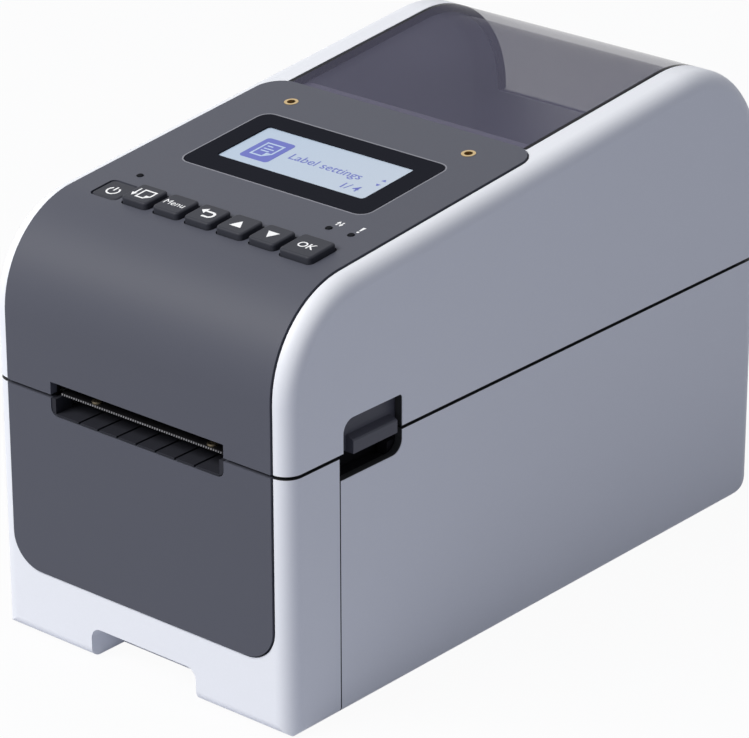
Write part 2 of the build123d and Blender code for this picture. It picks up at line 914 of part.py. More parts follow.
def gear_radius(teeth):
    """Pitch radius."""
    return teeth * gear_module / 2


def inner_frame():
    """Rear inner frame: deck, roll well, rims and posts."""
    rear = roll_y + well_outer
    frame = block(-frame_half, frame_half, frame_split, rear - well_wall, deck_low, deck_top)
    trough = rod_x(well_outer, -well_half - well_wall, well_half + well_wall, roll_y, roll_z)
    frame += trough & block(-width, width, -depth, depth, 0, deck_top)
    frame -= rod_x(well_radius, -well_half, well_half, roll_y, roll_z)
    rim = (liner_window_rear + wall, rear - 2 * well_wall, deck_low, rim_top)
    frame += both_sides(block(frame_half - rim_thick, frame_half, *rim))
    for y in (post_front, post_rear):
        post = rod_z(frame_post, post_x, y, plate_top, deck_low)
        post -= rod_z(case_screw + pin_fit, post_x, y, plate_top, plate_top + case_bite)
        frame += both_sides(post)
    lug = block(rear_cheek, keeper_lug, keeper_y - 2 * keeper_radius, keeper_y + 2 * keeper_radius,
                keeper_z - 2 * keeper_radius, deck_low)
    frame += both_sides(lug)
    frame -= both_sides(rod_x(keeper_radius + pin_fit, rear_cheek, keeper_lug, keeper_y, keeper_z))
    hook_front = lever_pivot[0] - hook_width - nose_thick - wall
    frame -= both_sides(block(lever_inner - frame_gap, width, hook_front, liner_window_rear, 0, rim_top))
    slot_inner = guide_open - guide_travel - guide_thick - trim_gap
    for side in (-1, 1):
        x0, x1 = sorted([side * slot_inner, side * (guide_open + trim_gap)])
        y0, y1 = leg_span(side)
        frame -= block(x0, x1, y0 - trim_gap, y1 + trim_gap, 0, roll_z - well_half)
    return frame


cup_back = inner_half - cup_deep


def front_frame():
    """Moulding round the platen, with the rims and the two finger cups."""
    front = shell_front + wall + seat_gap
    rear = frame_split - panel_gap
    frame = block(-frame_half, frame_half, front, rear, deck_low, deck_top)
    rim_rear = liner_window_front + wall
    frame += both_sides(block(frame_half - rim_thick, frame_half, front, rim_rear, deck_low, rim_top))
    frame += both_sides(block(slot_half + wall / 2, frame_half, front, front + rim_thick, deck_low, rim_top))
    cup = (bezel_seam - cup_wall, rear, recess_low - 2 * cup_wall, deck_top)
    frame += both_sides(block(cup_back - cup_wall, frame_half, *cup))
    hollow = (bezel_seam + bezel_gap / 2, recess_rear, recess_low - cup_wall, rim_top)
    frame -= both_sides(block(cup_back, width, *hollow))
    leg = block(frame_half - 2 * rim_thick, frame_half, front, front + 2 * rim_thick, plate_top, deck_low)
    leg += block(frame_half - 2 * rim_thick, frame_half, rear - 2 * rim_thick, rear, plate_top, deck_low)
    frame += both_sides(leg)
    bay_rear = platen_y + platen_radius + platen_room
    gear_end = side_plate_x + side_plate_thick + 2 * gear_width + 2 * gear_space
    bay_right = side_plate_x + bush_long + gear_space
    frame -= block(-gear_end - gear_space, bay_right, front + rim_thick, bay_rear, 0, rim_top)
    frame &= envelope(-wall - trim_gap)
    exit_half = slot_half + wall / 2
    return frame - block(-exit_half, exit_half, front - wall, front + rim_thick + seat_gap, 0, rim_top)


def keeper_pins():
    """Steel pins that the release hooks face."""
    return both_sides(rod_x(keeper_radius, rear_cheek + cheek_thick, lever_outer, keeper_y, keeper_z))


def plate_holes():
    """Centres of the case screws."""
    return [(side * post_x, y) for side in (-1, 1) for y in (post_front, post_rear)]


def board_holes():
    """Centres of the main board's screws."""
    inset = small_head + pad_margin
    front = main_front + inset
    rear = shell_rear - heel_radius - panel_proud - inset
    return [(side * (main_half - inset), y) for side in (-1, 1) for y in (front, rear)]


plate_half = half_width - edge_radius - trim_gap
plate_rear = shell_rear - heel_radius - panel_proud


def base_plate():
    """Bottom pan with the board bosses and the rack pinion's stud."""
    plate = block(-plate_half, plate_half, plate_front, plate_rear, inner_floor, plate_top)
    for x, y in plate_holes():
        plate -= rod_z(case_screw + key_gap / 2, x, y, 0, plate_top)
    for x, y in board_holes():
        plate += rod_z(small_head + pad_margin / 2, x, y, plate_top, plate_top + main_lift)
        plate -= rod_z(small_screw + pin_fit, x, y, main_top - small_bite - board_thick, main_top)
    return plate + rod_z(pinion_stud, 0, pinion_y, plate_top, plate_top + rack_tall + panel_gap)


def feet():
    """Four rubber feet under the pan."""
    places = [(side * foot_x, y) for side in (-1, 1) for y in (foot_front, foot_rear)]
    foot = fillet(Cylinder(foot_radius, inner_floor).edges().group_by(Axis.Z)[0], skirt_lift / 2)
    return Compound(children=[Pos(x, y, inner_floor / 2) * foot for x, y in places])


def screw(shank, head, head_thick, bite):
    """Pan-head screw that points up from the origin, with a cross recess."""
    body = rod_z(head, 0, 0, -head_thick, 0) + rod_z(shank, 0, 0, 0, bite)
    arm = head * cross_reach
    slit = arm * cross_width
    cross = Box(arm, slit, head_thick) + Box(slit, arm, head_thick)
    return body - Pos(0, 0, -head_thick) * cross


def case_screws():
    """Screws up through the pan into the frame's posts."""
    one = screw(case_screw, case_head, case_head_thick, case_bite)
    return Compound(children=[Pos(x, y, inner_floor) * one for x, y in plate_holes()])


def small_screws():
    """Board screw, pointing up from the origin."""
    return screw(small_screw, small_head, small_head_thick, small_bite + board_thick - seat_gap)


def base_screws():
    """Screws through the main board into the pan, and through the side plate into the motor."""
    down = Rot(180, 0, 0) * small_screws()
    motor_bite = small_bite + side_plate_thick - seat_gap
    across = Rot(0, 90, 0) * screw(small_screw, small_head, gear_space, motor_bite)
    board = [Pos(x, y, main_top) * down for x, y in board_holes()]
    motor = [Pos(-plate_outer, y, z) * across for y, z in motor_bolts()]
    return Compound(children=board + motor)


def control_board_screws():
    """Screws up through the control board into the panel's posts."""
    one = small_screws()
    return Compound(children=[roof.location * Pos(x, s, -board_low) * one for x, s in post_places])


def tear_screws():
    """Two brass screws down through the tear bar."""
    one = Rot(180, 0, 0) * screw(small_screw, tear_head, tear_head_thick, tear_thick + beam_thick - seat_gap)
    return Compound(children=[Pos(x, tear_screw_y, tear_low + tear_thick) * one for x in tear_screw_x])


def gear_outline(teeth, phase):
    """Involute gear with its first tooth at phase, in radians."""
    pitch = gear_radius(teeth)
    press = radians(gear_pressure)
    base = pitch * cos(press)
    tip = pitch + gear_tip * gear_module
    root = pitch - gear_root * gear_module
    rest = tan(press) - press
    half_tooth = pi / (2 * teeth) - gear_backlash / (4 * pitch)
    flank = []
    for step in range(4):
        r = base + (tip - base) * step / 3
        lean = acos(base / r)
        flank.append((r, half_tooth + rest - (tan(lean) - lean)))
    flank.insert(0, (root, flank[0][1]))
    points = []
    for tooth in range(teeth):
        middle = phase + 2 * pi * tooth / teeth
        for r, turn in flank:
            points.append((r * cos(middle - turn), r * sin(middle - turn)))
        for r, turn in reversed(flank):
            points.append((r * cos(middle + turn), r * sin(middle + turn)))
    return outline(points)


def gear_x(teeth, phase, x0, x1, centre, bore):
    """Spur gear that turns about X."""
    wheel = extrude(Plane.YZ * gear_outline(teeth, phase), x1 - x0)
    return Pos(x0, *centre) * wheel - rod_x(bore, x0, x1, *centre)


def step_from(centre, distance, angle):
    """Point at a distance and angle from a centre, in the (y, z) plane."""
    return (centre[0] + distance * cos(angle), centre[1] + distance * sin(angle))


platen_axis = (platen_y, platen_z)
idler_turn = radians(idler_lean)
motor_turn = radians(motor_lean)
idler_axis = step_from(platen_axis, gear_radius(platen_teeth + idler_small), idler_turn)
motor_axis = step_from(idler_axis, gear_radius(idler_large + motor_teeth), motor_turn)
plate_outer = side_plate_x + side_plate_thick
inner_x = (-plate_outer - gear_space - gear_width, -plate_outer - gear_space)
outer_x = (inner_x[0] - gear_space - gear_width, inner_x[0] - gear_space)


def platen_gear():
    """Gear on the platen's left end."""
    return gear_x(platen_teeth, idler_turn, *inner_x, platen_axis, platen_shaft + pin_fit)


def idler_gear():
    """Stepped gear between the motor and the platen."""
    small_phase = idler_turn + pi + pi / idler_small
    wheel = gear_x(idler_small, small_phase, outer_x[1], inner_x[1], idler_axis, idler_stud + run_fit)
    return wheel + gear_x(idler_large, motor_turn, *outer_x, idler_axis, idler_stud + run_fit)


def motor_pinion():
    """Motor shaft with the pinion cut on its end."""
    phase = motor_turn + pi + pi / motor_teeth
    pinion = Pos(outer_x[0], *motor_axis) * extrude(Plane.YZ * gear_outline(motor_teeth, phase), gear_width)
    return pinion + rod_x(motor_shaft, outer_x[0], -side_plate_x + motor_long / 2, *motor_axis)


def motor_bolts():
    """Places of the motor's two screws."""
    return [step_from(motor_axis, side * motor_bolt, pi / 2) for side in (-1, 1)]


def drive_motor():
    """Stepper motor can on the left side plate."""
    x0 = -side_plate_x
    can = rod_x(motor_radius, x0, x0 + motor_long, *motor_axis)
    can += rod_x(motor_boss, x0 - side_plate_thick, x0, *motor_axis)
    can -= rod_x(motor_shaft + run_fit, x0 - side_plate_thick, x0 + motor_long / 2 + seat_gap, *motor_axis)
    for y, z in motor_bolts():
        can -= rod_x(small_screw + pin_fit, x0, x0 + small_bite, y, z)
    return can


def platen_stud():
    """Fixed stud that carries the idler."""
    stud = rod_x(idler_stud, outer_x[0] - gear_space, -side_plate_x, *idler_axis)
    return stud + rod_x(stud_head, outer_x[0] - 2 * gear_space, outer_x[0] - gear_space, *idler_axis)


def platen_spindle():
    """Steel shaft through the platen."""
    return rod_x(platen_shaft, inner_x[0], plate_outer + gear_space, *platen_axis)


def platen_sleeve():
    """Rubber sleeve of the platen."""
    sleeve = rod_x(platen_radius, -platen_half, platen_half, *platen_axis)
    return sleeve - rod_x(platen_shaft + pin_fit, -platen_half, platen_half, *platen_axis)


bush_x = (plate_outer - bush_long, plate_outer)


def platen_bushes():
    """Plain bearings in the two side plates."""
    ring = rod_x(bush_radius, *bush_x, *platen_axis)
    return both_sides(ring - rod_x(platen_shaft + run_fit, *bush_x, *platen_axis))


def side_plate():
    """Right-hand steel plate that carries the platen, with its foot on the pan."""
    rear = frame_split - 2 * panel_gap
    front = shell_front + wall + bush_radius
    step = platen_y + platen_radius + platen_room - panel_gap
    points = [(front, plate_top), (front, platen_z + bush_radius + side_plate_thick),
              (step, platen_z + bush_radius + side_plate_thick), (step, deck_low - panel_gap),
              (rear, deck_low - panel_gap), (rear, plate_top)]
    plate = bar_x(points, side_plate_x, plate_outer)
    foot_front_y = plate_front + panel_gap
    foot_top = plate_top + side_plate_thick
    plate += block(side_plate_x - plate_foot, plate_outer, foot_front_y, rear, plate_top, foot_top)
    return plate - rod_x(bush_radius + pin_fit, side_plate_x, plate_outer, *platen_axis)


def left_side_plate():
    """Left-hand plate, bored for the motor, its screws and the idler stud."""
    plate = mirror(side_plate(), about=Plane.YZ)
    span = (-plate_outer, -side_plate_x)
    plate -= rod_x(motor_boss + pin_fit, *span, *motor_axis)
    plate -= rod_x(idler_stud + pin_fit, *span, *idler_axis)
    for y, z in motor_bolts():
        plate -= rod_x(small_screw + pin_fit, *span, y, z)
    return plate


def gap_sensor():
    """Label gap sensor on the deck behind the platen."""
    rear = head_pivot[0]
    body = block(-sensor_half, sensor_half, rear - sensor_deep, rear, deck_top, deck_top + sensor_tall)
    eye_top = deck_top + sensor_tall + eye_rise
    eye_front = rear - sensor_deep + eye_rise
    return body + block(-eye_half, eye_half, eye_front, rear - eye_rise, deck_top, eye_top)


def rack(side):
    """Toothed bar under the well; its pitch line lies on the pinion's."""
    pitch = pi * gear_module
    tip = gear_tip * gear_module
    root = gear_root * gear_module
    lean = tan(radians(gear_pressure))
    half = pitch / 4 - gear_backlash / 4
    reach = int((gear_radius(rack_teeth) + 2 * pitch) / pitch)
    far = int((guide_open - guide_thick) / pitch) - 1
    points = []
    for i in range(-far, reach):
        middle = (i + 0.5) * pitch
        points += [(middle - half - root * lean, -root), (middle - half + tip * lean, tip)]
        points += [(middle + half - tip * lean, tip), (middle + half + root * lean, -root)]
    end = points[-1][0]
    points += [(end, -root - rack_body), (-guide_open, -root - rack_body), (-guide_open, -root)]
    bar = bar_z(points, plate_top + panel_gap, plate_top + rack_tall)
    bar = Pos(0, -gear_radius(rack_teeth), 0) * bar
    if side > 0:
        bar = Rot(0, 0, 180) * bar
    return Pos(0, pinion_y, 0) * bar


def roll_guide(side):
    """Side plate with a hub for the roll's core, on a leg and a rack."""
    x0, x1 = sorted([side * guide_open, side * (guide_open - guide_thick)])
    disc = rod_x(well_radius - 2 * key_gap, x0, x1, roll_y, roll_z)
    plate = disc & block(x0, x1, guide_front, guide_rear, 0, guide_high)
    h0, h1 = sorted([side * (guide_open - guide_thick), side * (guide_open - guide_thick - hub_long)])
    plate += rod_x(hub_radius, h0, h1, roll_y, roll_z)
    y0, y1 = leg_span(side)
    leg_top = roll_z - sqrt((well_radius - 2 * key_gap) ** 2 - (roll_y - y0) ** 2) + leg_deep
    plate += block(x0, x1, y0, y1, plate_top + panel_gap, leg_top)
    return plate + rack(side)


def guide_pinion():
    """Pinion that ties the two guides together."""
    wheel = extrude(Plane.XY * gear_outline(rack_teeth, pi / 2), rack_tall - panel_gap)
    wheel = Pos(0, pinion_y, plate_top + panel_gap) * wheel
    return wheel - rod_z(pinion_stud + run_fit, 0, pinion_y, 0, plate_top + rack_tall)


def main_board():
    """Main circuit board behind the roll well."""
    board = block(-main_half, main_half, main_front, main_rear, main_top - board_thick, main_top)
    for x, y in board_holes():
        board -= rod_z(small_screw + trim_gap, x, y, 0, main_top)
    return board


def socket(x, wide, tall, long):
    """Socket shell on the main board."""
    return block(x - wide / 2, x + wide / 2, socket_rear - long, socket_rear, main_top, main_top + tall)


def mouth(x, wide, low, tall, reach):
    """Square mouth sunk into a socket from the rear."""
    return block(x - wide / 2, x + wide / 2, socket_rear - reach, socket_rear, low, low + tall)


def network_socket():
    """Network jack with its stepped mouth."""
    x, low = -socket_pitch, main_top + lan_floor
    shell = socket(x, lan_wide, lan_tall, lan_long)
    shell -= mouth(x, lan_mouth_wide, low + lan_key_tall, lan_mouth_tall, lan_reach)
    return shell - mouth(x, lan_key_wide, low, lan_key_tall, lan_reach)


def data_socket():
    """Square data socket with a tongue."""
    low = main_top + usb_floor
    shell = socket(0, usb_wide, usb_tall, usb_long)
    shell -= mouth(0, usb_mouth_wide, low, usb_mouth_tall, usb_reach)
    tongue_low = low + usb_mouth_tall - tongue_drop - tongue_thick
    tongue = mouth(0, tongue_wide, tongue_low, tongue_thick, usb_reach)
    return shell + tongue - mouth(0, usb_mouth_wide, low, usb_mouth_tall, pin_sunk)


def power_inlet():
    """Round low-voltage inlet with its centre pin."""
    x, z = socket_pitch, main_top + power_tall / 2
    shell = socket(x, power_wide, power_tall, power_long)
    shell -= rod_y(power_bore, socket_rear - power_reach, socket_rear, x, z)
    return shell + rod_y(power_pin, socket_rear - power_reach, socket_rear - pin_sunk, x, z)


def key(x, wide, deep, rise):
    """Key cap with its retaining flange and plunger."""
    under = panel_thick + trim_gap
    cap = extrude(RectangleRounded(wide, deep, key_corner), under + rise)
    cap = fillet(cap.edges().group_by(Axis.Z)[-1], key_round)
    cap = Pos(0, 0, -under) * cap
    flange_size = (wide + 2 * key_flange, deep + 2 * key_flange)
    flange_low = -under - key_flange_thick
    cap += Pos(0, 0, flange_low) * extrude(RectangleRounded(*flange_size, key_corner), key_flange_thick)
    plunger_low = -board_drop + pad_thick + key_gap + key_travel
    plunger = rod_z(plunger_radius, 0, 0, plunger_low, flange_low)
    return roof.location * Pos(x, key_row, 0) * (cap + plunger)


def key_pad():
    """Rubber mat under the keys."""
    deep = ok_depth + 2 * pad_margin
    wide = 2 * (board_half - pad_margin)
    return roof_plate(0, key_row, wide, deep, pad_margin, -board_drop, -board_drop + pad_thick)


def control_board():
    """Circuit board behind the panel."""
    middle = (board_front + board_rear) / 2
    size = (2 * board_half, board_rear - board_front, pad_margin)
    board = roof_plate(0, middle, *size, -board_low, -board_drop)
    for x, s in post_places:
        board -= roof_rod(small_screw + trim_gap, x, s, -board_low, -board_drop)
    return board


def display_bezel():
    """Glossy black frame of the display."""
    frame = roof_plate(0, bezel_mid, 2 * bezel_half, bezel_deep, bezel_corner, -bezel_thick, seat_gap)
    return frame - roof_plate(0, screen_mid, 2 * screen_half, screen_deep, pad_margin, -bezel_thick, wall)


screen_low = panel_inner + panel_proud - seat_gap


def display_screen():
    """Screen glass in the frame's opening."""
    size = (2 * (screen_half - seat_gap), screen_deep - 2 * seat_gap, pad_margin - seat_gap)
    return roof_plate(0, screen_mid, *size, -screen_low, -screen_sunk)


def display_module():
    """Display module behind the panel."""
    size = (2 * (screen_half + module_margin), screen_deep + 2 * module_margin, pad_margin)
    top = -panel_thick - seat_gap
    return roof_plate(0, screen_mid, *size, top - module_thick, top)


def status_lights():
    """Three light pipes from the board to the panel."""
    pipes = [roof_rod(light_radius, x, s, seat_gap - board_drop, trim_gap) for x, s in light_places]
    return Compound(children=pipes)


def threaded_inserts():
    """Two brass inserts in the panel's bosses."""
    inserts = []
    for x in (-insert_x, insert_x):
        insert = roof_rod(insert_radius, x, insert_s, -insert_long, seat_gap)
        inserts.append(insert - roof_rod(insert_bore, x, insert_s, -insert_long, seat_gap))
    return Compound(children=inserts)


def hinge_pins():
    """Two steel hinge pins."""
    return hinge_bore(hinge_pin)


def head_pivot_pin():
    """Steel pin that the print head rocks on."""
    reach = front_cheek + cheek_thick
    return rod_x(head_pin, -reach, reach, *head_pivot)


pieces = {
    "lower_case": lower_case(),
    "front_bezel": front_bezel(),
    "front_panel": front_panel(),
    "exit_guide": exit_guide(),
    "tear_bar": tear_bar(),
    "base_plate": base_plate(),
    "rubber_feet": feet(),
    "case_screws": case_screws(),
    "inner_frame": inner_frame(),
    "front_frame": front_frame(),
    "keeper_pins": keeper_pins(),
    "left_side_plate": left_side_plate(),
    "right_side_plate": side_plate(),
    "platen_bushes": platen_bushes(),
    "idler_stud": platen_stud(),
    "drive_motor": drive_motor(),
    "gap_sensor": gap_sensor(),
    "main_board": main_board(),
    "base_screws": base_screws(),
    "network_socket": network_socket(),
    "data_socket": data_socket(),
    "power_inlet": power_inlet(),
    "hinge_pins": hinge_pins(),
    "platen_shaft": platen_spindle(),
    "platen_rubber": platen_sleeve(),
    "platen_gear": platen_gear(),
    "idler_gear": idler_gear(),
    "motor_pinion": motor_pinion(),
    "left_roll_guide": roll_guide(-1),
    "right_roll_guide": roll_guide(1),
    "guide_pinion": guide_pinion(),
    "cover_shell": cover_shell(),
    "control_panel": control_panel(),
    "roll_window": roll_window(),
    "cover_liner": cover_liner(),
    "head_mount": head_mount(),
    "tear_screws": tear_screws(),
    "head_pivot_pin": head_pivot_pin(),
    "head_springs": head_springs(),
    "control_board": control_board(),
    "control_board_screws": control_board_screws(),
    "key_pad": key_pad(),
    "display_bezel": display_bezel(),
    "display_screen": display_screen(),
    "display_module": display_module(),
    "status_lights": status_lights(),
    "threaded_inserts": threaded_inserts(),
    "print_strip": print_strip(),
    "heat_sink": heat_sink(),
    "right_release_lever": release_lever(),
    "left_release_lever": mirror(release_lever(), about=Plane.YZ),
    "release_shaft": release_shaft(),
    "release_spring": release_spring(),
}
for name, x, wide, deep, rise in key_list():
    pieces[name] = key(x, wide, deep, rise)

os.makedirs("parts", exist_ok=True)
for name, shape in pieces.items():
    export_step(shape, f"parts/{name}.step")
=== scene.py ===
"""Looks of a desktop thermal label printer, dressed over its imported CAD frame.

Lengths are metres in the CAD frame: +X to the printer's right, the front towards -Y and +Z up.
Drawings on the cover's sloping roof are in millimetres on that plane: x across, s up the slope, h out of it.
"""

import logging
import math
from dataclasses import dataclass, field
from enum import Enum
from typing import Callable

import bmesh
import bpy
import numpy as np
from mathutils import Matrix, Vector


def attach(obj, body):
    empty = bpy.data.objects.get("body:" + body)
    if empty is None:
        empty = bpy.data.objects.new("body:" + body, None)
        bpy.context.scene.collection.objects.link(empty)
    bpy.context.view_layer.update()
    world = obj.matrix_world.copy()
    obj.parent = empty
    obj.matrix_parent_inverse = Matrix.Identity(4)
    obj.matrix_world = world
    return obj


logging.basicConfig(level=logging.INFO, format="%(message)s")
log = logging.getLogger("label_printer")

MM = 0.001
Colour = tuple[float, float, float]
Place = Callable[[np.ndarray], np.ndarray]

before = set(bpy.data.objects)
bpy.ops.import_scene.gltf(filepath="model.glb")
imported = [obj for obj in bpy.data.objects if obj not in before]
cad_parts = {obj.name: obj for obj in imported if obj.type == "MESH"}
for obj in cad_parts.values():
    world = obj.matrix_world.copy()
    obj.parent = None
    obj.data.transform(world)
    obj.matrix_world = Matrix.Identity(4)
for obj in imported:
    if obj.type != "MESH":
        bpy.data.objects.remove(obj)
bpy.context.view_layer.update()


class Body(Enum):
    """Bodies of the frame that new pieces ride on."""

    BASE = "base"
    COVER = "cover"


class Slot(Enum):
    """Material slots of the record, handed to new pieces but not applied to them."""

    LEGEND = "key_plastic"
    SCREEN = "screen_glass"
    CONTACT = "brass"


class Brushing(Enum):
    """Direction of a metal's brush marks, as the stretch of its grain along x, y and z."""

    ALONG_X = (0.03, 1.0, 1.0)
    ALONG_Y = (1.0, 0.03, 1.0)
    TURNED = (0.02, 0.4, 0.4)
    CAST = (1.0, 1.0, 1.0)


# Shader graphs


class Wire:
    """A shader socket whose arithmetic adds Math nodes to its graph."""

    def __init__(self, graph: "Graph", socket: bpy.types.NodeSocket) -> None:
        """Keep the graph and the output socket."""
        self.graph = graph
        self.socket = socket

    def _math(self, operation: str, first: "Wire | float", second: "Wire | float") -> "Wire":
        """Add one Math node.

        Args:
            operation: name of the Math node's operation.
            first: left-hand value.
            second: right-hand value.

        Returns:
            The node's result.
        """
        return self.graph.node("ShaderNodeMath", {"operation": operation}, {0: first, 1: second})

    def __add__(self, other: "Wire | float") -> "Wire":
        """Sum."""
        return self._math("ADD", self, other)

    __radd__ = __add__

    def __sub__(self, other: "Wire | float") -> "Wire":
        """Difference."""
        return self._math("SUBTRACT", self, other)

    def __rsub__(self, other: float) -> "Wire":
        """Difference from a number."""
        return self._math("SUBTRACT", other, self)

    def __mul__(self, other: "Wire | float") -> "Wire":
        """Product."""
        return self._math("MULTIPLY", self, other)

    __rmul__ = __mul__

    def __gt__(self, level: float) -> "Wire":
        """One where the value is above a level, else nought."""
        return self._math("GREATER_THAN", self, level)

    def fraction(self) -> "Wire":
        """Fractional part."""
        return self._math("FRACT", self, 0.0)

    def maximum(self, other: "Wire | float") -> "Wire":
        """Larger of two values."""
        return self._math("MAXIMUM", self, other)

    def distance(self, other: float) -> "Wire":
        """Distance from a number, whichever side it is on."""
        apart = self - other
        return self._math("ABSOLUTE", apart, 0.0)


class Graph:
    """Node tree of one material or world."""

    def __init__(self, tree: bpy.types.NodeTree) -> None:
        """Empty the tree."""
        self.tree = tree
        tree.nodes.clear()

    def node(
        self,
        kind: str,
        settings: dict[str, object] | None = None,
        sockets: dict[str | int, object] | None = None,
        output: str | int = 0,
    ) -> Wire:
        """Add a node, set it up and feed its sockets.

        Args:
            kind: type of the node.
            settings: properties, set first.
            sockets: values or wires by the socket's name or number.
            output: the output socket to return.

        Returns:
            The chosen output.
        """
        node = self.tree.nodes.new(kind)
        for name, value in (settings or {}).items():
            setattr(node, name, value)
        for key, value in (sockets or {}).items():
            if isinstance(value, Wire):
                self.tree.links.new(value.socket, node.inputs[key])
            else:
                node.inputs[key].default_value = value
        return Wire(self, node.outputs[output]) if len(node.outputs) else Wire(self, None)

    def coordinates(self, stretch: Colour = (1.0, 1.0, 1.0)) -> Wire:
        """Object coordinates, stretched along the axes.

        Args:
            stretch: factor along x, y and z.

        Returns:
            The coordinates.
        """
        place = self.node("ShaderNodeTexCoord", output="Object")
        return self.node("ShaderNodeMapping", None, {"Vector": place, "Scale": stretch})

    def noise(self, place: Wire, size: float, detail: float = 2.0) -> Wire:
        """Noise from 0 to 1.

        Args:
            place: coordinates.
            size: size of a speck in metres.
            detail: octaves.

        Returns:
            The noise value.
        """
        sockets = {"Vector": place, "Scale": 1.0 / size, "Detail": detail}
        return self.node("ShaderNodeTexNoise", None, sockets, "Fac")

    def mix(self, first: "Wire | Colour", second: "Wire | Colour", share: "Wire | float") -> Wire:
        """Blend two colours.

        Args:
            first: colour at share 0.
            second: colour at share 1.
            share: blend factor.

        Returns:
            The blended colour.
        """
        ends = [end if isinstance(end, Wire) else (*end, 1.0) for end in (first, second)]
        return self.node("ShaderNodeMix", {"data_type": "RGBA"}, {0: share, 6: ends[0], 7: ends[1]}, 2)

    def bump(self, height: Wire, depth: float) -> Wire:
        """Normal of a relief.

        Args:
            height: relief from 0 to 1.
            depth: depth of the relief in metres.

        Returns:
            The bent normal.
        """
        return self.node("ShaderNodeBump", None, {"Height": height, "Distance": depth, "Strength": 1.0})

    def surface(self, sockets: dict[str | int, object]) -> None:
        """Close the graph with one principled surface.

        Args:
            sockets: values or wires of the surface's sockets.
        """
        shader = self.node("ShaderNodeBsdfPrincipled", None, sockets)
        self.node("ShaderNodeOutputMaterial", None, {"Surface": shader})


def tinted(colour: Colour, factor: float) -> Colour:
    """Colour times a factor, kept at or below one."""
    return tuple(min(1.0, channel * factor) for channel in colour)


class Finish:
    """Base of the finishes: makes its material once."""

    name: str

    def material(self) -> bpy.types.Material:
        """Material of this finish.

        Returns:
            The material, built on first use.
        """
        label = f"{self.name}_finish"
        known = bpy.data.materials.get(label)
        if known:
            return known
        made = bpy.data.materials.new(label)
        made.use_nodes = True
        self.draw(Graph(made.node_tree))
        return made

    def draw(self, graph: Graph) -> None:
        """Draw the finish into an empty graph."""
        raise NotImplementedError


@dataclass(frozen=True)
class Zone:
    """Box that marks part of a piece, such as a parting line or a recess, alike on both sides.

    The box is middle +- half on |x|, y and z in millimetres; an axis whose half is nought has no limits.
    """

    middle: tuple[float, float, float]
    half: tuple[float, float, float]

    def mask(self, graph: Graph) -> Wire:
        """Mark the box: the product over the axes of 1 - (|axis - middle| > half).

        Args:
            graph: graph of the finish.

        Returns:
            One in the box, else nought.
        """
        place = graph.node("ShaderNodeTexCoord", output="Object")
        x, y, z = [graph.node("ShaderNodeSeparateXYZ", None, {"Vector": place}, axis) for axis in "XYZ"]
        inside = [
            1 - (along.distance(middle * MM) > half * MM)
            for along, middle, half in zip((x.distance(0.0), y, z), self.middle, self.half)
            if half
        ]
        return math.prod(inside[1:], start=inside[0])


@dataclass(frozen=True)
class Moulding(Finish):
    """Moulded plastic: spark-eroded grain, faint cloudiness and uneven sheen."""

    name: str
    colour: Colour
    roughness: float
    grain: float = 0.0007
    relief: float = 0.000012
    cloud: float = 0.03
    gloss: float = 0.5
    shadows: tuple[Zone, ...] = ()
    cloud_size: float = 0.045
    glint: float = 1.12
    shade: float = 0.04

    def draw(self, graph: Graph) -> None:
        """Grain bumps the normal, slow noise tints the colour, both move the roughness, and shadows are dark.

        Args:
            graph: empty graph.
        """
        place = graph.coordinates()
        grain = graph.noise(place, self.grain, 3.0)
        cloud = graph.noise(place, self.cloud_size)
        tone = graph.mix(tinted(self.colour, 1 - self.cloud), tinted(self.colour, 1 + self.cloud), cloud)
        speck = graph.mix(tone, tinted(self.colour, self.glint), (grain - 0.5) * 0.5)
        # Painted shade: the colour is darkened inside each shadow zone, where shade falls in gaps and
        # recesses.
        for shadow in self.shadows:
            speck = graph.mix(speck, tinted(self.colour, self.shade), shadow.mask(graph))
        rough = (cloud - 0.5) * 0.08 + (grain - 0.5) * 0.12 + self.roughness
        graph.surface(
            {
                "Base Color": speck,
                "Roughness": rough,
                "Specular IOR Level": self.gloss,
                "Normal": graph.bump(grain, self.relief),
            }
        )


@dataclass(frozen=True)
class Metal(Finish):
    """Bare metal with brush marks or a cast skin."""

    name: str
    colour: Colour
    roughness: float
    brushing: Brushing = Brushing.CAST
    mark: float = 0.0004
    stain: float = 0.012
    relief: float = 0.000006

    def draw(self, graph: Graph) -> None:
        """Noise stretched along the brushing tints the metal and moves its roughness.

        Args:
            graph: empty graph.
        """
        marks = graph.noise(graph.coordinates(self.brushing.value), self.mark, 4.0)
        stain = graph.noise(graph.coordinates(), self.stain, 3.0)
        tone = graph.mix(tinted(self.colour, 0.82), tinted(self.colour, 1.08), marks * 0.6 + stain * 0.4)
        graph.surface(
            {
                "Base Color": tone,
                "Metallic": 1.0,
                "Roughness": (marks - 0.5) * 0.2 + (stain - 0.5) * 0.1 + self.roughness,
                "Normal": graph.bump(marks, self.relief),
            }
        )


@dataclass(frozen=True)
class ToothedSteel(Finish):
    """Blackened steel strip with a painted highlight on the tips of its row of teeth along x."""

    name: str
    colour: Colour
    tip_glint: Colour
    pitch: float
    front: Zone
    tip_share: float = 0.28
    wear: float = 0.002

    def draw(self, graph: Graph) -> None:
        """The painted highlight is on the front edge, where x over the pitch is near a whole number; noise
        wears the black.

        Args:
            graph: empty graph.
        """
        place = graph.node("ShaderNodeTexCoord", output="Object")
        x = graph.node("ShaderNodeSeparateXYZ", None, {"Vector": place}, "X")
        away = (x * (1.0 / self.pitch)).fraction().distance(0.5)
        wear = graph.noise(place, self.wear, 3.0)
        worn = graph.mix(self.colour, tinted(self.colour, 1.5), wear)
        # Painted highlight: the tooth tips along the front edge are light over the worn black.
        graph.surface(
            {
                "Base Color": graph.mix(worn, self.tip_glint, (away > self.tip_share) * self.front.mask(graph)),
                "Metallic": 0.6,
                "Roughness": (wear - 0.5) * 0.15 + 0.45,
            }
        )


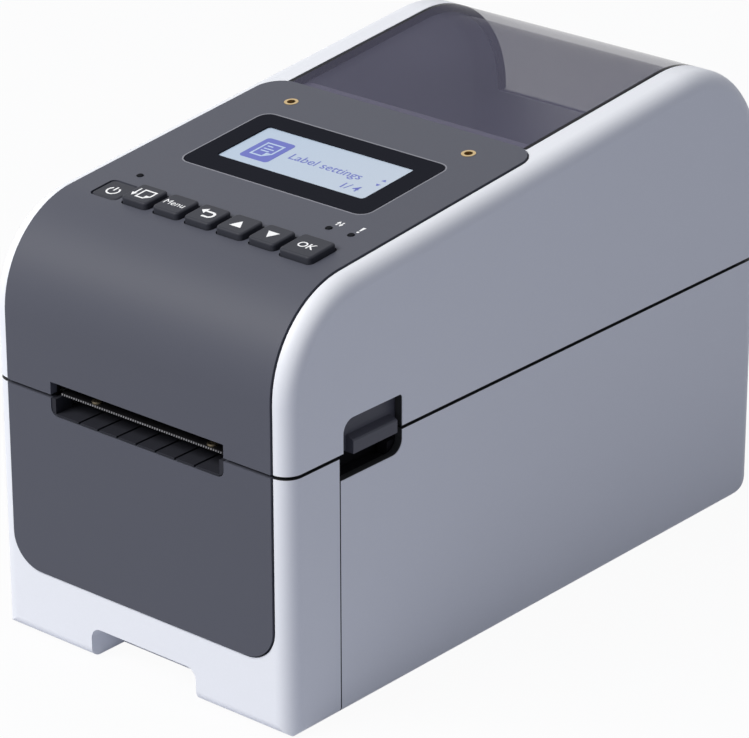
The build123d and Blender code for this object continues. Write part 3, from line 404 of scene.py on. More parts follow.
@dataclass(frozen=True)
class Rubber(Finish):
    """Matte rubber with a dusty bloom."""

    name: str
    colour: Colour
    roughness: float = 0.78
    speckle: float = 0.0005
    bloom: float = 0.02
    relief: float = 0.00002

    def draw(self, graph: Graph) -> None:
        """Fine speckle and slow bloom over a dark base.

        Args:
            graph: empty graph.
        """
        place = graph.coordinates()
        speckle = graph.noise(place, self.speckle, 4.0)
        bloom = graph.noise(place, self.bloom, 3.0)
        tone = graph.mix(self.colour, tinted(self.colour, 2.2), bloom * 0.5 + speckle * 0.3)
        rough = (speckle - 0.5) * 0.15 + self.roughness
        graph.surface({"Base Color": tone, "Roughness": rough, "Normal": graph.bump(speckle, self.relief)})


@dataclass(frozen=True)
class SmokyClear(Finish):
    """Smoke-tinted clear plastic: see-through, glossy, with faint flow marks and haze."""

    name: str
    colour: Colour
    rim: Zone
    cover: float = 0.42
    flow: float = 0.06
    haze: float = 0.015
    gloss: float = 0.04

    def draw(self, graph: Graph) -> None:
        """Slow noise moves the tint and the opacity a little, a haze dulls the gloss, and the rim is black.

        Args:
            graph: empty graph.
        """
        place = graph.coordinates()
        edge = self.rim.mask(graph)
        flow = graph.noise(place, self.flow, 1.0)
        haze = graph.noise(place, self.haze)
        tone = graph.mix(tinted(self.colour, 0.85), tinted(self.colour, 1.2), flow)
        graph.surface(
            {
                "Base Color": graph.mix(tone, tinted(self.colour, 0.08), edge),
                "Roughness": (haze - 0.5) * 0.04 + 0.06,
                "Alpha": ((flow - 0.5) * 0.06 + self.cover).maximum(edge),
                "Specular IOR Level": self.gloss,
            }
        )


@dataclass(frozen=True)
class LitScreen(Finish):
    """Backlit dot-matrix screen: pale field, faint dot grid and a soft fall-off to one side."""

    name: str
    colour: Colour
    far_colour: Colour
    pitch: float = 0.00042
    glow: float = 0.15
    dot_share: float = 0.86
    fade: float = 14.0

    def draw(self, graph: Graph) -> None:
        """A grid line is where the fraction of x or y over the pitch passes the dot's share; the field fades.

        Args:
            graph: empty graph.
        """
        place = graph.node("ShaderNodeTexCoord", output="Object")
        axes = [graph.node("ShaderNodeSeparateXYZ", None, {"Vector": place}, axis) for axis in ("X", "Y")]
        lines = [(axis * (1.0 / self.pitch)).fraction() > self.dot_share for axis in axes]
        dots = lines[0].maximum(lines[1])
        fade = axes[0] * self.fade + 0.5
        field_tone = graph.mix(self.colour, self.far_colour, fade)
        tone = graph.mix(field_tone, tinted(self.colour, 0.8), dots * 0.25)
        graph.surface(
            {
                "Base Color": tone,
                "Roughness": (graph.noise(place, 0.02) - 0.5) * 0.1 + 0.22,
                "Emission Color": tone,
                "Emission Strength": self.glow,
                "Specular IOR Level": 0.2,
            }
        )


@dataclass(frozen=True)
class Ink(Finish):
    """Printed legend: opaque ink with a slight grain."""

    name: str
    colour: Colour
    glow: float = 0.0
    grain: float = 0.0003

    def draw(self, graph: Graph) -> None:
        """Fine noise thins the ink a little.

        Args:
            graph: empty graph.
        """
        place = graph.coordinates()
        thin = graph.noise(place, self.grain)
        tone = graph.mix(tinted(self.colour, 0.93), self.colour, thin)
        rough = (thin - 0.5) * 0.1 + 0.5
        sockets = {"Base Color": tone, "Roughness": rough}
        if self.glow:
            sockets |= {"Emission Color": tone, "Emission Strength": self.glow}
        graph.surface(sockets)


@dataclass(frozen=True)
class SolderMask(Finish):
    """Circuit board: green mask over a net of copper tracks."""

    name: str
    colour: Colour
    track: Colour
    cells: float = 220.0
    track_half: float = 0.09
    relief: float = 0.00004

    def draw(self, graph: Graph) -> None:
        """Tracks run along the edges of a coarse cell pattern, and shine through the mask.

        Args:
            graph: empty graph.
        """
        place = graph.coordinates()
        sockets = {"Vector": place, "Scale": self.cells, "Randomness": 0.35}
        settings = {"feature": "DISTANCE_TO_EDGE"}
        edge = graph.node("ShaderNodeTexVoronoi", settings, sockets, "Distance")
        track = 1 - (edge > self.track_half)
        tone = graph.mix(self.colour, self.track, track * 0.7)
        mottled = graph.mix(tone, tinted(self.colour, 0.6), graph.noise(place, 0.01) * 0.4)
        rough = (graph.noise(place, 0.002) - 0.5) * 0.15 + 0.38
        graph.surface({"Base Color": mottled, "Roughness": rough, "Normal": graph.bump(track, self.relief)})


# Painted shade: the pale shells are darkened along the parting line, along the bezel's seam and inside the
# finger recess.
PARTING_SHADE = Zone((0.0, 0.0, 77.85), (0.0, 0.0, 0.53))
BEZEL_PARTING_SHADE = Zone((0.0, -85.2, 38.5), (0.0, 0.22, 38.9))
FINGER_RECESS_SHADE = Zone((50.2, -72.8, 78.5), (4.6, 13.8, 9.9))
# Front edge of the tear bar, where the teeth's highlight is painted.
TEAR_GLINT_EDGE = Zone((0.0, -104.9, 0.0), (0.0, 0.35, 0.0))
WINDOW_RIM = Zone((43.9, 0.0, 0.0), (0.75, 0.0, 0.0))
PALE = (0.735, 0.757, 0.81)
COVER_SHADOWS = (PARTING_SHADE, FINGER_RECESS_SHADE)
BASE_SHADOWS = (PARTING_SHADE, FINGER_RECESS_SHADE, BEZEL_PARTING_SHADE)
COVER_PALE = Moulding("cover_pale", PALE, 0.46, 0.0006, 0.000003, 0.012, 0.3, COVER_SHADOWS)
BASE_PALE = Moulding("base_pale", PALE, 0.46, 0.0006, 0.000003, 0.012, 0.3, BASE_SHADOWS)
SLATE_PANEL = Moulding("slate_panel", (0.068, 0.072, 0.094), 0.5, grain=0.0005, relief=0.000016, gloss=0.2)
KEY_CAP = Moulding("key_cap", (0.032, 0.034, 0.044), 0.48, grain=0.0004, relief=0.000008, gloss=0.12)
LEVER = Moulding("lever", (0.078, 0.08, 0.102), 0.48, gloss=0.2)
BLACK_MOULDING = Moulding("black_moulding", (0.011, 0.011, 0.014), 0.6, 0.0008, 0.00002, gloss=0.08)
LEDGE = Moulding("ledge", (0.02, 0.021, 0.028), 0.6, grain=0.0006, gloss=0.1)
LINER = Moulding("liner", (0.42, 0.405, 0.52), 0.6, grain=0.0008, relief=0.000004, gloss=0.1)
# Painted highlight: lighter slate for the ring that stands for light on the display frame's chamfer.
RIM_HIGHLIGHT = Moulding("panel_rim_highlight", (0.2, 0.205, 0.24), 0.45, relief=0.000004, gloss=0.3)
DISPLAY_FRAME = Moulding("display_frame", (0.016, 0.017, 0.023), 0.4, relief=0.000002, gloss=0.0)
NATURAL_GEAR = Moulding("natural_gear", (0.78, 0.76, 0.69), 0.4, relief=0.000004)
LIGHT_LENS = Moulding("light_lens", (0.016, 0.017, 0.02), 0.3, relief=0.000002, gloss=0.0)
SOCKET_BLACK = Moulding("socket_black", (0.016, 0.016, 0.018), 0.35)
GLAZED_STRIP = Moulding("glazed_strip", (0.2, 0.13, 0.1), 0.18, relief=0.000003)
INNER_GREY = Moulding("inner_grey", (0.13, 0.128, 0.16), 0.6, grain=0.0008, relief=0.000004, gloss=0.2)
WINDOW = SmokyClear("smoky_window", (0.098, 0.096, 0.15), WINDOW_RIM)
SCREEN = LitScreen("lit_screen", (0.37, 0.455, 0.57), (0.42, 0.48, 0.565))
WHITE_INK = Ink("white_ink", (0.86, 0.87, 0.89))
SCREEN_INK = Ink("screen_ink", (0.1, 0.12, 0.42), glow=0.1)
SCREEN_FIELD = Ink("screen_field", (0.4, 0.5, 0.64), glow=0.15)
TURNED_STEEL = Metal("turned_steel", (0.58, 0.58, 0.6), 0.26, Brushing.TURNED)
PRESSED_STEEL = Metal("pressed_steel", (0.55, 0.56, 0.58), 0.36, Brushing.ALONG_Y)
PAN_STEEL = Metal("pan_steel", (0.46, 0.47, 0.49), 0.44)
SINK_METAL = Metal("sink_metal", (0.74, 0.74, 0.76), 0.32, Brushing.ALONG_X)
PLATED_SHELL = Metal("plated_shell", (0.62, 0.62, 0.64), 0.24)
BRASS = Metal("brass", (0.62, 0.45, 0.22), 0.32)
TARNISHED = Metal("tarnished", (0.2, 0.17, 0.12), 0.5)
TEAR_STEEL = ToothedSteel("tear_steel", (0.012, 0.012, 0.014), (0.36, 0.36, 0.38), 0.0009, TEAR_GLINT_EDGE)
GOLD_CONTACT = Metal("gold_contact", (0.86, 0.62, 0.26), 0.22)
RUBBER = Rubber("rubber", (0.02, 0.02, 0.022))
BOARD = SolderMask("board", (0.012, 0.12, 0.055), (0.05, 0.24, 0.1))


# Surfaces


def ring_faces(stations: int, around: int, closed: bool) -> np.ndarray:
    """Quads between rings of points.

    Ring i holds points i*around ... i*around+around-1; each quad joins two neighbours on ring i to ring i+1.

    Args:
        stations: number of rings.
        around: points on a ring.
        closed: whether the last ring joins the first.

    Returns:
        Array of quads.
    """
    spans = stations if closed else stations - 1
    i, j = np.meshgrid(np.arange(spans), np.arange(around), indexing="ij")
    next_i, next_j = (i + 1) % stations, (j + 1) % around
    corners = [i * around + j, i * around + next_j, next_i * around + next_j, next_i * around + j]
    return np.stack(corners, axis=-1).reshape(-1, 4)


def arc(centre: tuple[float, float], radius: float, start: float, end: float, steps: int = 28) -> np.ndarray:
    """Points of a circular arc: centre + radius (cos a, sin a), a from start to end in degrees.

    Args:
        centre: middle of the arc.
        radius: its radius.
        start: first angle.
        end: last angle.
        steps: number of points.

    Returns:
        Array of 2-D points.
    """
    angle = np.radians(np.linspace(start, end, steps))
    return np.array(centre) + radius * np.stack([np.cos(angle), np.sin(angle)], axis=1)


def rounded_box(centre: tuple[float, float], size: tuple[float, float], corner: float) -> np.ndarray:
    """Outline of a rectangle with round corners: four quarter arcs, one about each corner's centre.

    Args:
        centre: middle of the rectangle.
        size: width and depth.
        corner: corner radius.

    Returns:
        Array of 2-D points.
    """
    reach = np.array(size) / 2 - corner
    signs = [(1, 1), (-1, 1), (-1, -1), (1, -1)]
    quarters = [arc(tuple(reach * sign), corner, 90 * k, 90 * k + 90, 7) for k, sign in enumerate(signs)]
    return np.concatenate(quarters) + np.array(centre)


@dataclass(frozen=True)
class RoofPlane:
    """Sloping plane of the control panel's top face."""

    slope: float = math.radians(5.8)
    height: float = 136.7026

    def __call__(self, points: np.ndarray) -> np.ndarray:
        """Carry points on the plane into the frame: s runs up the slope and h along its normal.

        Args:
            points: array of (x, s, h) in millimetres.

        Returns:
            Array of points in metres.
        """
        x, s, h = points.T
        rise, run = math.sin(self.slope), math.cos(self.slope)
        return np.stack([x, s * run - h * rise, self.height + s * rise + h * run], axis=1) * MM


ROOF = RoofPlane()


def in_frame(points: np.ndarray) -> np.ndarray:
    """Millimetres in the frame to metres."""
    return points * MM


@dataclass
class Draft:
    """Points and faces gathered for one piece."""

    points: list[np.ndarray] = field(default_factory=list)
    faces: list[list[int]] = field(default_factory=list)

    def add(self, points: np.ndarray, faces: list[list[int]]) -> None:
        """Append a shape.

        Args:
            points: array of its points.
            faces: corner numbers of its faces.
        """
        start = sum(len(part) for part in self.points)
        self.points.append(points)
        self.faces += [[start + corner for corner in face] for face in faces]

    def prism(self, outline: np.ndarray, low: float, high: float) -> None:
        """Slab between two copies of a flat outline.

        Args:
            outline: 2-D points.
            low: height of the lower copy.
            high: height of the upper copy.
        """
        count = len(outline)
        levels = [np.column_stack([outline, np.full(count, level)]) for level in (low, high)]
        sides = ring_faces(2, count, closed=False).tolist()
        caps = [list(range(count))[::-1], list(range(count, 2 * count))]
        self.add(np.concatenate(levels), sides + caps)

    def stroke(self, path: np.ndarray, width: float, low: float, high: float, closed: bool = False) -> None:
        """Pen stroke: a rectangle carried along a flat path, mitred at each corner.

        The mitre at a corner between unit normals m and n is (m + n) / (1 + m.n), times half the width.

        Args:
            path: 2-D points.
            width: width of the pen.
            low: underside.
            high: top.
            closed: whether the path returns to its start.
        """
        ahead = np.roll(path, -1, axis=0) - path
        ahead /= np.linalg.norm(ahead, axis=1, keepdims=True)
        after = np.stack([-ahead[:, 1], ahead[:, 0]], axis=1)
        before = np.roll(after, 1, axis=0)
        if not closed:
            before[0] = after[0]
            after[-1] = before[-1]
        spread = 1 + np.sum(before * after, axis=1, keepdims=True)
        mitre = (before + after) / np.maximum(spread, 0.3) * width / 2
        edges = [(path + mitre, low), (path - mitre, low), (path - mitre, high), (path + mitre, high)]
        corners = [np.column_stack([edge, np.full(len(path), level)]) for edge, level in edges]
        rings = np.stack(corners, axis=1)
        faces = ring_faces(len(path), 4, closed).tolist()
        if not closed:
            last = 4 * (len(path) - 1)
            faces += [[3, 2, 1, 0], [last, last + 1, last + 2, last + 3]]
        self.add(rings.reshape(-1, 3), faces)

    def strip(self, path: np.ndarray, across: np.ndarray, thick: float) -> None:
        """Flat strip: a thin rectangle carried along a path in space.

        The rectangle is +-across/2 wide and +-thick/2 high along the normal, tangent x across.

        Args:
            path: 3-D points.
            across: width vector.
            thick: thickness.
        """
        along = np.gradient(path, axis=0)
        normal = np.cross(along, across)
        normal *= thick / 2 / np.linalg.norm(normal, axis=1, keepdims=True)
        half = across / 2
        corners = [path - half - normal, path + half - normal, path + half + normal, path - half + normal]
        rings = np.stack(corners, axis=1)
        last = 4 * (len(path) - 1)
        caps = [[3, 2, 1, 0], [last, last + 1, last + 2, last + 3]]
        self.add(rings.reshape(-1, 3), ring_faces(len(path), 4, False).tolist() + caps)

    def words(
        self, text: str, size: float, centre: tuple[float, float], low: float, high: float, bold: float = 0.0
    ) -> None:
        """Lettering, made a mesh flat at the origin and then moved to its place.

        Args:
            text: generic words.
            size: height of the type.
            centre: middle of the line.
            low: underside.
            high: top.
            bold: how far each stroke is thickened.
        """
        curve = bpy.data.curves.new("lettering", "FONT")
        curve.body = text
        curve.size = size
        curve.align_x = "CENTER"
        curve.align_y = "CENTER"
        curve.extrude = (high - low) / 2
        curve.offset = bold
        curve.resolution_u = 4
        holder = bpy.data.objects.new("lettering", curve)
        bpy.context.scene.collection.objects.link(holder)
        graph = bpy.context.evaluated_depsgraph_get()
        mesh = bpy.data.meshes.new_from_object(holder.evaluated_get(graph))
        flat = np.empty(3 * len(mesh.vertices))
        mesh.vertices.foreach_get("co", flat)
        faces = [list(face.vertices) for face in mesh.polygons]
        bpy.data.objects.remove(holder)
        bpy.data.curves.remove(curve)
        bpy.data.meshes.remove(mesh)
        self.add(flat.reshape(-1, 3) + np.array([*centre, (low + high) / 2]), faces)

    def build(self, name: str, place: Place, finish: Finish, body: str, slot: Slot) -> bpy.types.Object:
        """Turn the draft into a piece that rides on a body.

        Args:
            name: name of the piece.
            place: carries the draft's points into the frame.
            finish: its finish.
            body: body that it rides on.
            slot: material slot of the record; not used.

        Returns:
            The piece.
        """
        mesh = bpy.data.meshes.new(name)
        mesh.from_pydata(place(np.concatenate(self.points)).tolist(), [], self.faces)
        draft = bmesh.new()
        draft.from_mesh(mesh)
        bmesh.ops.remove_doubles(draft, verts=draft.verts, dist=1e-7)
        bmesh.ops.recalc_face_normals(draft, faces=draft.faces)
        draft.to_mesh(mesh)
        draft.free()
        mesh.materials.append(finish.material())
        piece = bpy.data.objects.new(name, mesh)
        bpy.context.scene.collection.objects.link(piece)
        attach(piece, body)
        log.info("built %s on %s: %d faces", name, body, len(mesh.polygons))
        return piece


def dress(finish: Finish, *nodes: str) -> None:
    """Give CAD nodes a finish.

    Args:
        finish: the finish.
        nodes: names of the nodes.
    """
    for node in nodes:
        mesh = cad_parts[node].data
        mesh.materials.clear()
        mesh.materials.append(finish.material())
        log.info("dressed %s in %s", node, finish.name)


# Sub-assemblies


@dataclass
class Housing:
    """Two pale shells, the front bezel and what closes them below."""

    base_shells: tuple[str, ...] = ("lower_case", "front_bezel")
    screws: tuple[str, ...] = ("case_screws", "base_screws", "hinge_pins")

    def build(self) -> None:
        """Dress the shells, the pan, the feet and the screws."""
        dress(COVER_PALE, "cover_shell")
        dress(BASE_PALE, *self.base_shells)
        dress(PAN_STEEL, "base_plate")
        dress(RUBBER, "rubber_feet")
        dress(TURNED_STEEL, *self.screws)


@dataclass
class KeyRow:
    """Seven keys with their printed legends."""

    row: float = -76.6
    rise: float = 2.0
    print_low: float = -0.02
    print_high: float = 0.03
    pen: float = 0.55
    menu_type: float = 3.4
    confirm_type: float = 4.0
    confirm_bold: float = 0.04
    places: dict[str, float] = field(
        default_factory=lambda: {
            "power": -35.6,
            "feed": -23.85,
            "menu": -12.1,
            "return": -0.35,
            "up": 11.4,
            "down": 23.15,
            "ok": 35.8,
        }
    )

    def build(self) -> None:
        """Dress each key and print its legend on it."""
        for name, x in self.places.items():
            dress(KEY_CAP, f"{name}_key")
            top = 0.0 if name == "power" else self.rise
            draft = Draft()
            getattr(self, f"draw_{name}")(draft, x, top + self.print_low, top + self.print_high)
            draft.build(f"{name}_legend", ROOF, WHITE_INK, f"{name}_button", Slot.LEGEND)

    def draw_power(self, draft: Draft, x: float, low: float, high: float) -> None:
        """Power sign: an arc open at the top and an upright bar.

        Args:
            draft: draft of the legend.
            x: middle of the key.
            low: underside of the print.
            high: its top.
        """
        draft.stroke(arc((x, self.row - 0.1), 1.9, 125, 415), self.pen, low, high)
        draft.stroke(np.array([(x, self.row), (x, self.row + 2.2)]), self.pen, low, high)

    def draw_feed(self, draft: Draft, x: float, low: float, high: float) -> None:
        """Feed sign: an arrow beside a sheet with a turned corner.

        Args:
            draft: draft of the legend.
            x: middle of the key.
            low: underside of the print.
            high: its top.
        """
        left, s = x - 2.7, self.row
        draft.stroke(np.array([(left, s + 2.3), (left, s - 0.6)]), self.pen, low, high)
        draft.prism(np.array([(left - 1.0, s - 0.5), (left, s - 2.2), (left + 1.0, s - 0.5)]), low, high)
        left_edge = [(x - 1.0, s + 2.1), (x - 1.0, s - 2.1)]
        right_edge = [(x + 1.6, s - 2.1), (x + 3.1, s - 0.6), (x + 3.1, s + 2.1)]
        draft.stroke(np.array(left_edge + right_edge), self.pen, low, high, closed=True)
        draft.prism(np.array([(x + 1.5, s - 2.0), (x + 3.0, s - 0.5), (x + 1.5, s - 0.5)]), low, high)

    def draw_menu(self, draft: Draft, x: float, low: float, high: float) -> None:
        """Word on the menu key."""
        draft.words("Menu", self.menu_type, (x, self.row), low, high)

    def draw_return(self, draft: Draft, x: float, low: float, high: float) -> None:
        """Return sign: a hooked line with an arrowhead to the left.

        Args:
            draft: draft of the legend.
            x: middle of the key.
            low: underside of the print.
            high: its top.
        """
        s = self.row
        bend = arc((x + 1.2, s), 1.4, 90, -90, 14)
        path = np.concatenate([np.array([(x - 1.2, s + 1.4)]), bend, np.array([(x - 0.6, s - 1.4)])])
        draft.stroke(path, 0.75, low, high)
        draft.prism(np.array([(x - 1.1, s + 2.9), (x - 1.1, s - 0.1), (x - 2.9, s + 1.4)]), low, high)

    def draw_up(self, draft: Draft, x: float, low: float, high: float) -> None:
        """Triangle that points up the slope."""
        self.draw_triangle(draft, x, 1.0, low, high)

    def draw_down(self, draft: Draft, x: float, low: float, high: float) -> None:
        """Triangle that points down the slope."""
        self.draw_triangle(draft, x, -1.0, low, high)

    def draw_triangle(self, draft: Draft, x: float, way: float, low: float, high: float) -> None:
        """Triangle with its base across the slope.

        Args:
            draft: draft of the legend.
            x: middle of the key.
            way: 1 up the slope, -1 down it.
            low: underside of the print.
            high: its top.
        """
        corners = np.array([(-2.0, -1.5), (2.0, -1.5), (0.0, 1.9)]) * way
        draft.prism(corners + np.array([x, self.row]), low, high)

    def draw_ok(self, draft: Draft, x: float, low: float, high: float) -> None:
        """Word on the confirm key."""
        draft.words("OK", self.confirm_type, (x, self.row), low, high, self.confirm_bold)


@dataclass
class Display:
    """Screen, its black frame and what the screen shows."""

    top: float = -0.3
    film: float = 0.03
    icon: tuple[float, float] = (-17.1, -33.2)
    icon_size: tuple[float, float] = (10.6, 13.2)
    line: tuple[float, float] = (4.3, -32.7)
    count: tuple[float, float] = (18.5, -39.1)
    markers: tuple[float, float] = (24.2, -32.4)
    rim_centre: tuple[float, float] = (0.0, -33.0)
    rim_size: tuple[float, float] = (69.2, 37.6)
    rim_corner: float = 3.9
    rim_wide: float = 0.45
    icon_corner: float = 1.3
    line_type: float = 4.9
    count_type: float = 4.4
    count_bold: float = 0.04
    sheet_pen: float = 0.6
    row_pen: float = 0.5

    def build(self) -> None:
        """Dress the frame and the screen, draw the screen's signs and lay the fine rim round the frame, a
        lighter ring that is a painted highlight for light caught on the frame's chamfer.
        """
        dress(DISPLAY_FRAME, "display_bezel")
        dress(SCREEN, "display_screen")
        dress(PRESSED_STEEL, "display_module")
        low, high = self.top - self.film, self.top + self.film
        signs = Draft()
        signs.prism(rounded_box(self.icon, self.icon_size, self.icon_corner), low, high)
        signs.words("Label settings", self.line_type, self.line, low, high)
        signs.words("1/ 4", self.count_type, self.count, low, high, self.count_bold)
        x, s = self.markers
        signs.prism(np.array([(x - 0.8, s + 1.0), (x + 0.8, s + 1.0), (x, s + 2.2)]), low, high)
        signs.prism(np.array([(x - 0.8, s - 1.0), (x, s - 2.2), (x + 0.8, s - 1.0)]), low, high)
        signs.build("screen_signs", ROOF, SCREEN_INK, Body.COVER.value, Slot.SCREEN)
        self.draw_sheet(low, high + self.film)
        # Painted highlight: a flat lighter ring round the frame stands for light caught on its chamfer.
        rim = Draft()
        outline = rounded_box(self.rim_centre, self.rim_size, self.rim_corner)
        rim.stroke(outline, self.rim_wide, -self.film, self.film, closed=True)
        rim.build("display_rim_highlight", ROOF, RIM_HIGHLIGHT, Body.COVER.value, Slot.SCREEN)

    def draw_sheet(self, low: float, high: float) -> None:
        """Pale sheet with a turned corner and lines, on the icon.

        Args:
            low: underside.
            high: top.
        """
        x, s = self.icon
        sheet = Draft()
        left_edge = [(x - 3.0, s + 3.8), (x - 3.0, s - 3.8)]
        right_edge = [(x + 1.0, s - 3.8), (x + 3.0, s - 1.6), (x + 3.0, s + 3.8)]
        sheet.stroke(np.array(left_edge + right_edge), self.sheet_pen, low, high, closed=True)
        sheet.prism(np.array([(x + 0.9, s - 3.7), (x + 2.9, s - 1.5), (x + 0.9, s - 1.5)]), low, high)
        for drop, reach in ((2.2, 0.2), (0.6, 1.8), (-0.8, 1.2)):
            sheet.stroke(np.array([(x - 1.8, s + drop), (x + reach, s + drop)]), self.row_pen, low, high)
        sheet.build("screen_sheet", ROOF, SCREEN_FIELD, Body.COVER.value, Slot.SCREEN)


@dataclass
class ControlDeck:
    """Control panel with its lights, inserts and printed signs."""

    film: float = 0.03
    data_sign: tuple[float, float] = (32.0, -58.6)
    alert_sign: tuple[float, float] = (39.4, -58.6)
    pen: float = 0.45

    def build(self) -> None:
        """Dress the panel and what is behind it, then print the signs."""
        dress(SLATE_PANEL, "control_panel")
        dress(LIGHT_LENS, "status_lights")
        dress(BRASS, "threaded_inserts")
        dress(RUBBER, "key_pad")
        dress(BOARD, "control_board")
        dress(TURNED_STEEL, "control_board_screws")
        signs = Draft()
        self.draw_data(signs)
        self.draw_alert(signs)
        signs.build("panel_signs", ROOF, WHITE_INK, Body.COVER.value, Slot.LEGEND)

    def draw_data(self, signs: Draft) -> None:
        """Two arrows side by side, one each way.

        Args:
            signs: draft of the panel's signs.
        """
        x, s = self.data_sign
        for turn in (1, -1):
            shaft = np.array([(-0.65, -1.1), (-0.65, 0.3)]) * turn
            head = np.array([(-1.3, 0.2), (0.0, 0.2), (-0.65, 1.3)]) * turn
            signs.stroke(shaft + np.array([x, s]), self.pen, -self.film, self.film)
            signs.prism(head + np.array([x, s]), -self.film, self.film)

    def draw_alert(self, signs: Draft) -> None:
        """Upright wedge over a dot.

        Args:
            signs: draft of the panel's signs.
        """
        x, s = self.alert_sign
        wedge = np.array([(x - 0.28, s - 0.5), (x + 0.28, s - 0.5), (x + 0.5, s + 1.7), (x - 0.5, s + 1.7)])
        signs.prism(wedge, -self.film, self.film)
        signs.prism(arc((x, s - 1.3), 0.42, 0, 345, 24), -self.film, self.film)


@dataclass
class ExitMouth:
    """Label exit: front panel, grooved ledge, tear bar, platen and print head."""

    def build(self) -> None:
        """Dress the pieces round the exit."""
        dress(SLATE_PANEL, "front_panel")
        dress(LEDGE, "exit_guide")
        dress(BLACK_MOULDING, "front_frame", "head_mount", "gap_sensor")
        dress(TEAR_STEEL, "tear_bar")
        dress(RUBBER, "platen_rubber")
        dress(TURNED_STEEL, "platen_shaft", "head_pivot_pin", "head_springs", "keeper_pins")
        dress(SINK_METAL, "heat_sink")
        dress(GLAZED_STRIP, "print_strip")
        dress(TARNISHED, "tear_screws")


@dataclass
class Release:
    """Two pull levers on one shaft."""

    def build(self) -> None:
        """Dress the levers, the shaft and the spring."""
        dress(LEVER, "left_release_lever", "right_release_lever")
        dress(TURNED_STEEL, "release_shaft", "release_spring")


@dataclass
class RollBay:
    """Bay for the label roll: window, liner, guides and inner frame."""

    def build(self) -> None:
        """Dress the bay."""
        dress(WINDOW, "roll_window")
        dress(BLACK_MOULDING, "left_roll_guide", "right_roll_guide")
        dress(LINER, "cover_liner")
        dress(INNER_GREY, "inner_frame")
        dress(NATURAL_GEAR, "guide_pinion")


@dataclass
class Drive:
    """Motor, gears and side plates."""

    def build(self) -> None:
        """Dress the gear train."""
        dress(PRESSED_STEEL, "left_side_plate", "right_side_plate")
        dress(NATURAL_GEAR, "platen_gear", "idler_gear", "platen_bushes")
        dress(TURNED_STEEL, "motor_pinion", "idler_stud")
        dress(PRESSED_STEEL, "drive_motor")


@dataclass
class RearSockets:
    """Sockets on the main board, with their contacts."""

    lan_x: float = -25.0
    lan_pitch: float = 1.02
    lan_count: int = 8
    lan_wide: float = 0.5
    lan_mouth: float = 103.6
    lan_reach: float = 10.4
    lan_top: float = 23.45
    lan_fall: float = 3.6
    contact_thick: float = 0.2
    tongue_low: float = 18.8
    tongue_high: float = 20.6
    data_pitch: float = 2.6
    data_wide: float = 1.0
    data_back: float = 96.6
    data_mouth: float = 103.4
    proud: float = 0.05

    def build(self) -> None:
        """Dress the board and the sockets, then add the contacts."""
        dress(BOARD, "main_board")
        dress(PLATED_SHELL, "network_socket", "data_socket")
        dress(SOCKET_BLACK, "power_inlet")
        self.build_network_contacts()
        self.build_data_contacts()

    def build_network_contacts(self) -> None:
        """Sprung wires from the mouth's ceiling towards its back: they fall by run to the power 1.6."""
        contacts = Draft()
        run = np.linspace(0.0, 1.0, 9)
        y = self.lan_mouth - self.lan_reach * run
        z = self.lan_top - self.lan_fall * run**1.6
        for x in self.lan_x + self.lan_pitch * (np.arange(self.lan_count) - (self.lan_count - 1) / 2):
            path = np.stack([np.full_like(run, x), y, z], axis=1)
            contacts.strip(path, np.array([self.lan_wide, 0.0, 0.0]), self.contact_thick)
        contacts.build("network_contacts", in_frame, GOLD_CONTACT, Body.BASE.value, Slot.CONTACT)

    def build_data_contacts(self) -> None:
        """Two strips on each face of the data socket's tongue."""
        contacts = Draft()
        y = np.linspace(self.data_back, self.data_mouth, 2)
        for z in (self.tongue_low - self.proud, self.tongue_high + self.proud):
            for x in (-self.data_pitch / 2, self.data_pitch / 2):
                path = np.stack([np.full_like(y, x), y, np.full_like(y, z)], axis=1)
                contacts.strip(path, np.array([self.data_wide, 0.0, 0.0]), self.contact_thick)
        contacts.build("data_contacts", in_frame, GOLD_CONTACT, Body.BASE.value, Slot.CONTACT)


# Studio


@dataclass(frozen=True)
class Softbox:
    """One square studio light."""

    name: str
    place: tuple[float, float, float]
    side: float
    power: float
    tint: Colour = (1.0, 1.0, 1.0)
    target: tuple[float, float, float] = (0.0, 0.0, 0.07)

    def hang(self) -> None:
        """Hang the light so that it faces its target."""
        lamp = bpy.data.lights.new(self.name, "AREA")
        lamp.shape = "SQUARE"
        lamp.size = self.side
        lamp.energy = self.power
        lamp.color = self.tint
        holder = bpy.data.objects.new(self.name, lamp)
        holder.location = self.place
        aim = Vector(self.target) - Vector(self.place)
        holder.rotation_euler = aim.to_track_quat("-Z", "Y").to_euler()
        bpy.context.scene.collection.objects.link(holder)


@dataclass(frozen=True)
class FloorFinish(Finish):
    """Pale floor that reads as a white sweep to the eye and keeps a soft shadow."""

    name: str = "studio_floor"
    sweep: float = 0.95
    dark_tone: Colour = (0.5, 0.52, 0.6)
    pale_tone: Colour = (0.53, 0.55, 0.63)
    mottle: float = 0.3

    def draw(self, graph: Graph) -> None:
        """Seen, mirrored or seen through, most of it is plain white; the rest takes light and shadow.

        Args:
            graph: empty graph.
        """
        seen = self_lit(graph)
        mottle = graph.noise(graph.coordinates(), self.mottle)
        tone = graph.mix(self.dark_tone, self.pale_tone, mottle)
        matte = graph.node("ShaderNodeBsdfDiffuse", None, {"Color": tone})
        white = graph.node("ShaderNodeEmission", None, {"Color": (1.0, 1.0, 1.0, 1.0), "Strength": 1.0})
        both = graph.node("ShaderNodeMixShader", None, {0: seen * self.sweep, 1: matte, 2: white})
        graph.node("ShaderNodeOutputMaterial", None, {"Surface": both})


def self_lit(graph: Graph) -> Wire:
    """Mark the rays of the eye, of mirrors and of clear plastic.

    Args:
        graph: graph of the floor or of the world.

    Returns:
        One on camera, glossy and transmission rays, else nought.
    """
    kinds = ("Is Camera Ray", "Is Glossy Ray", "Is Transmission Ray")
    rays = [graph.node("ShaderNodeLightPath", output=kind) for kind in kinds]
    return rays[0].maximum(rays[1]).maximum(rays[2])


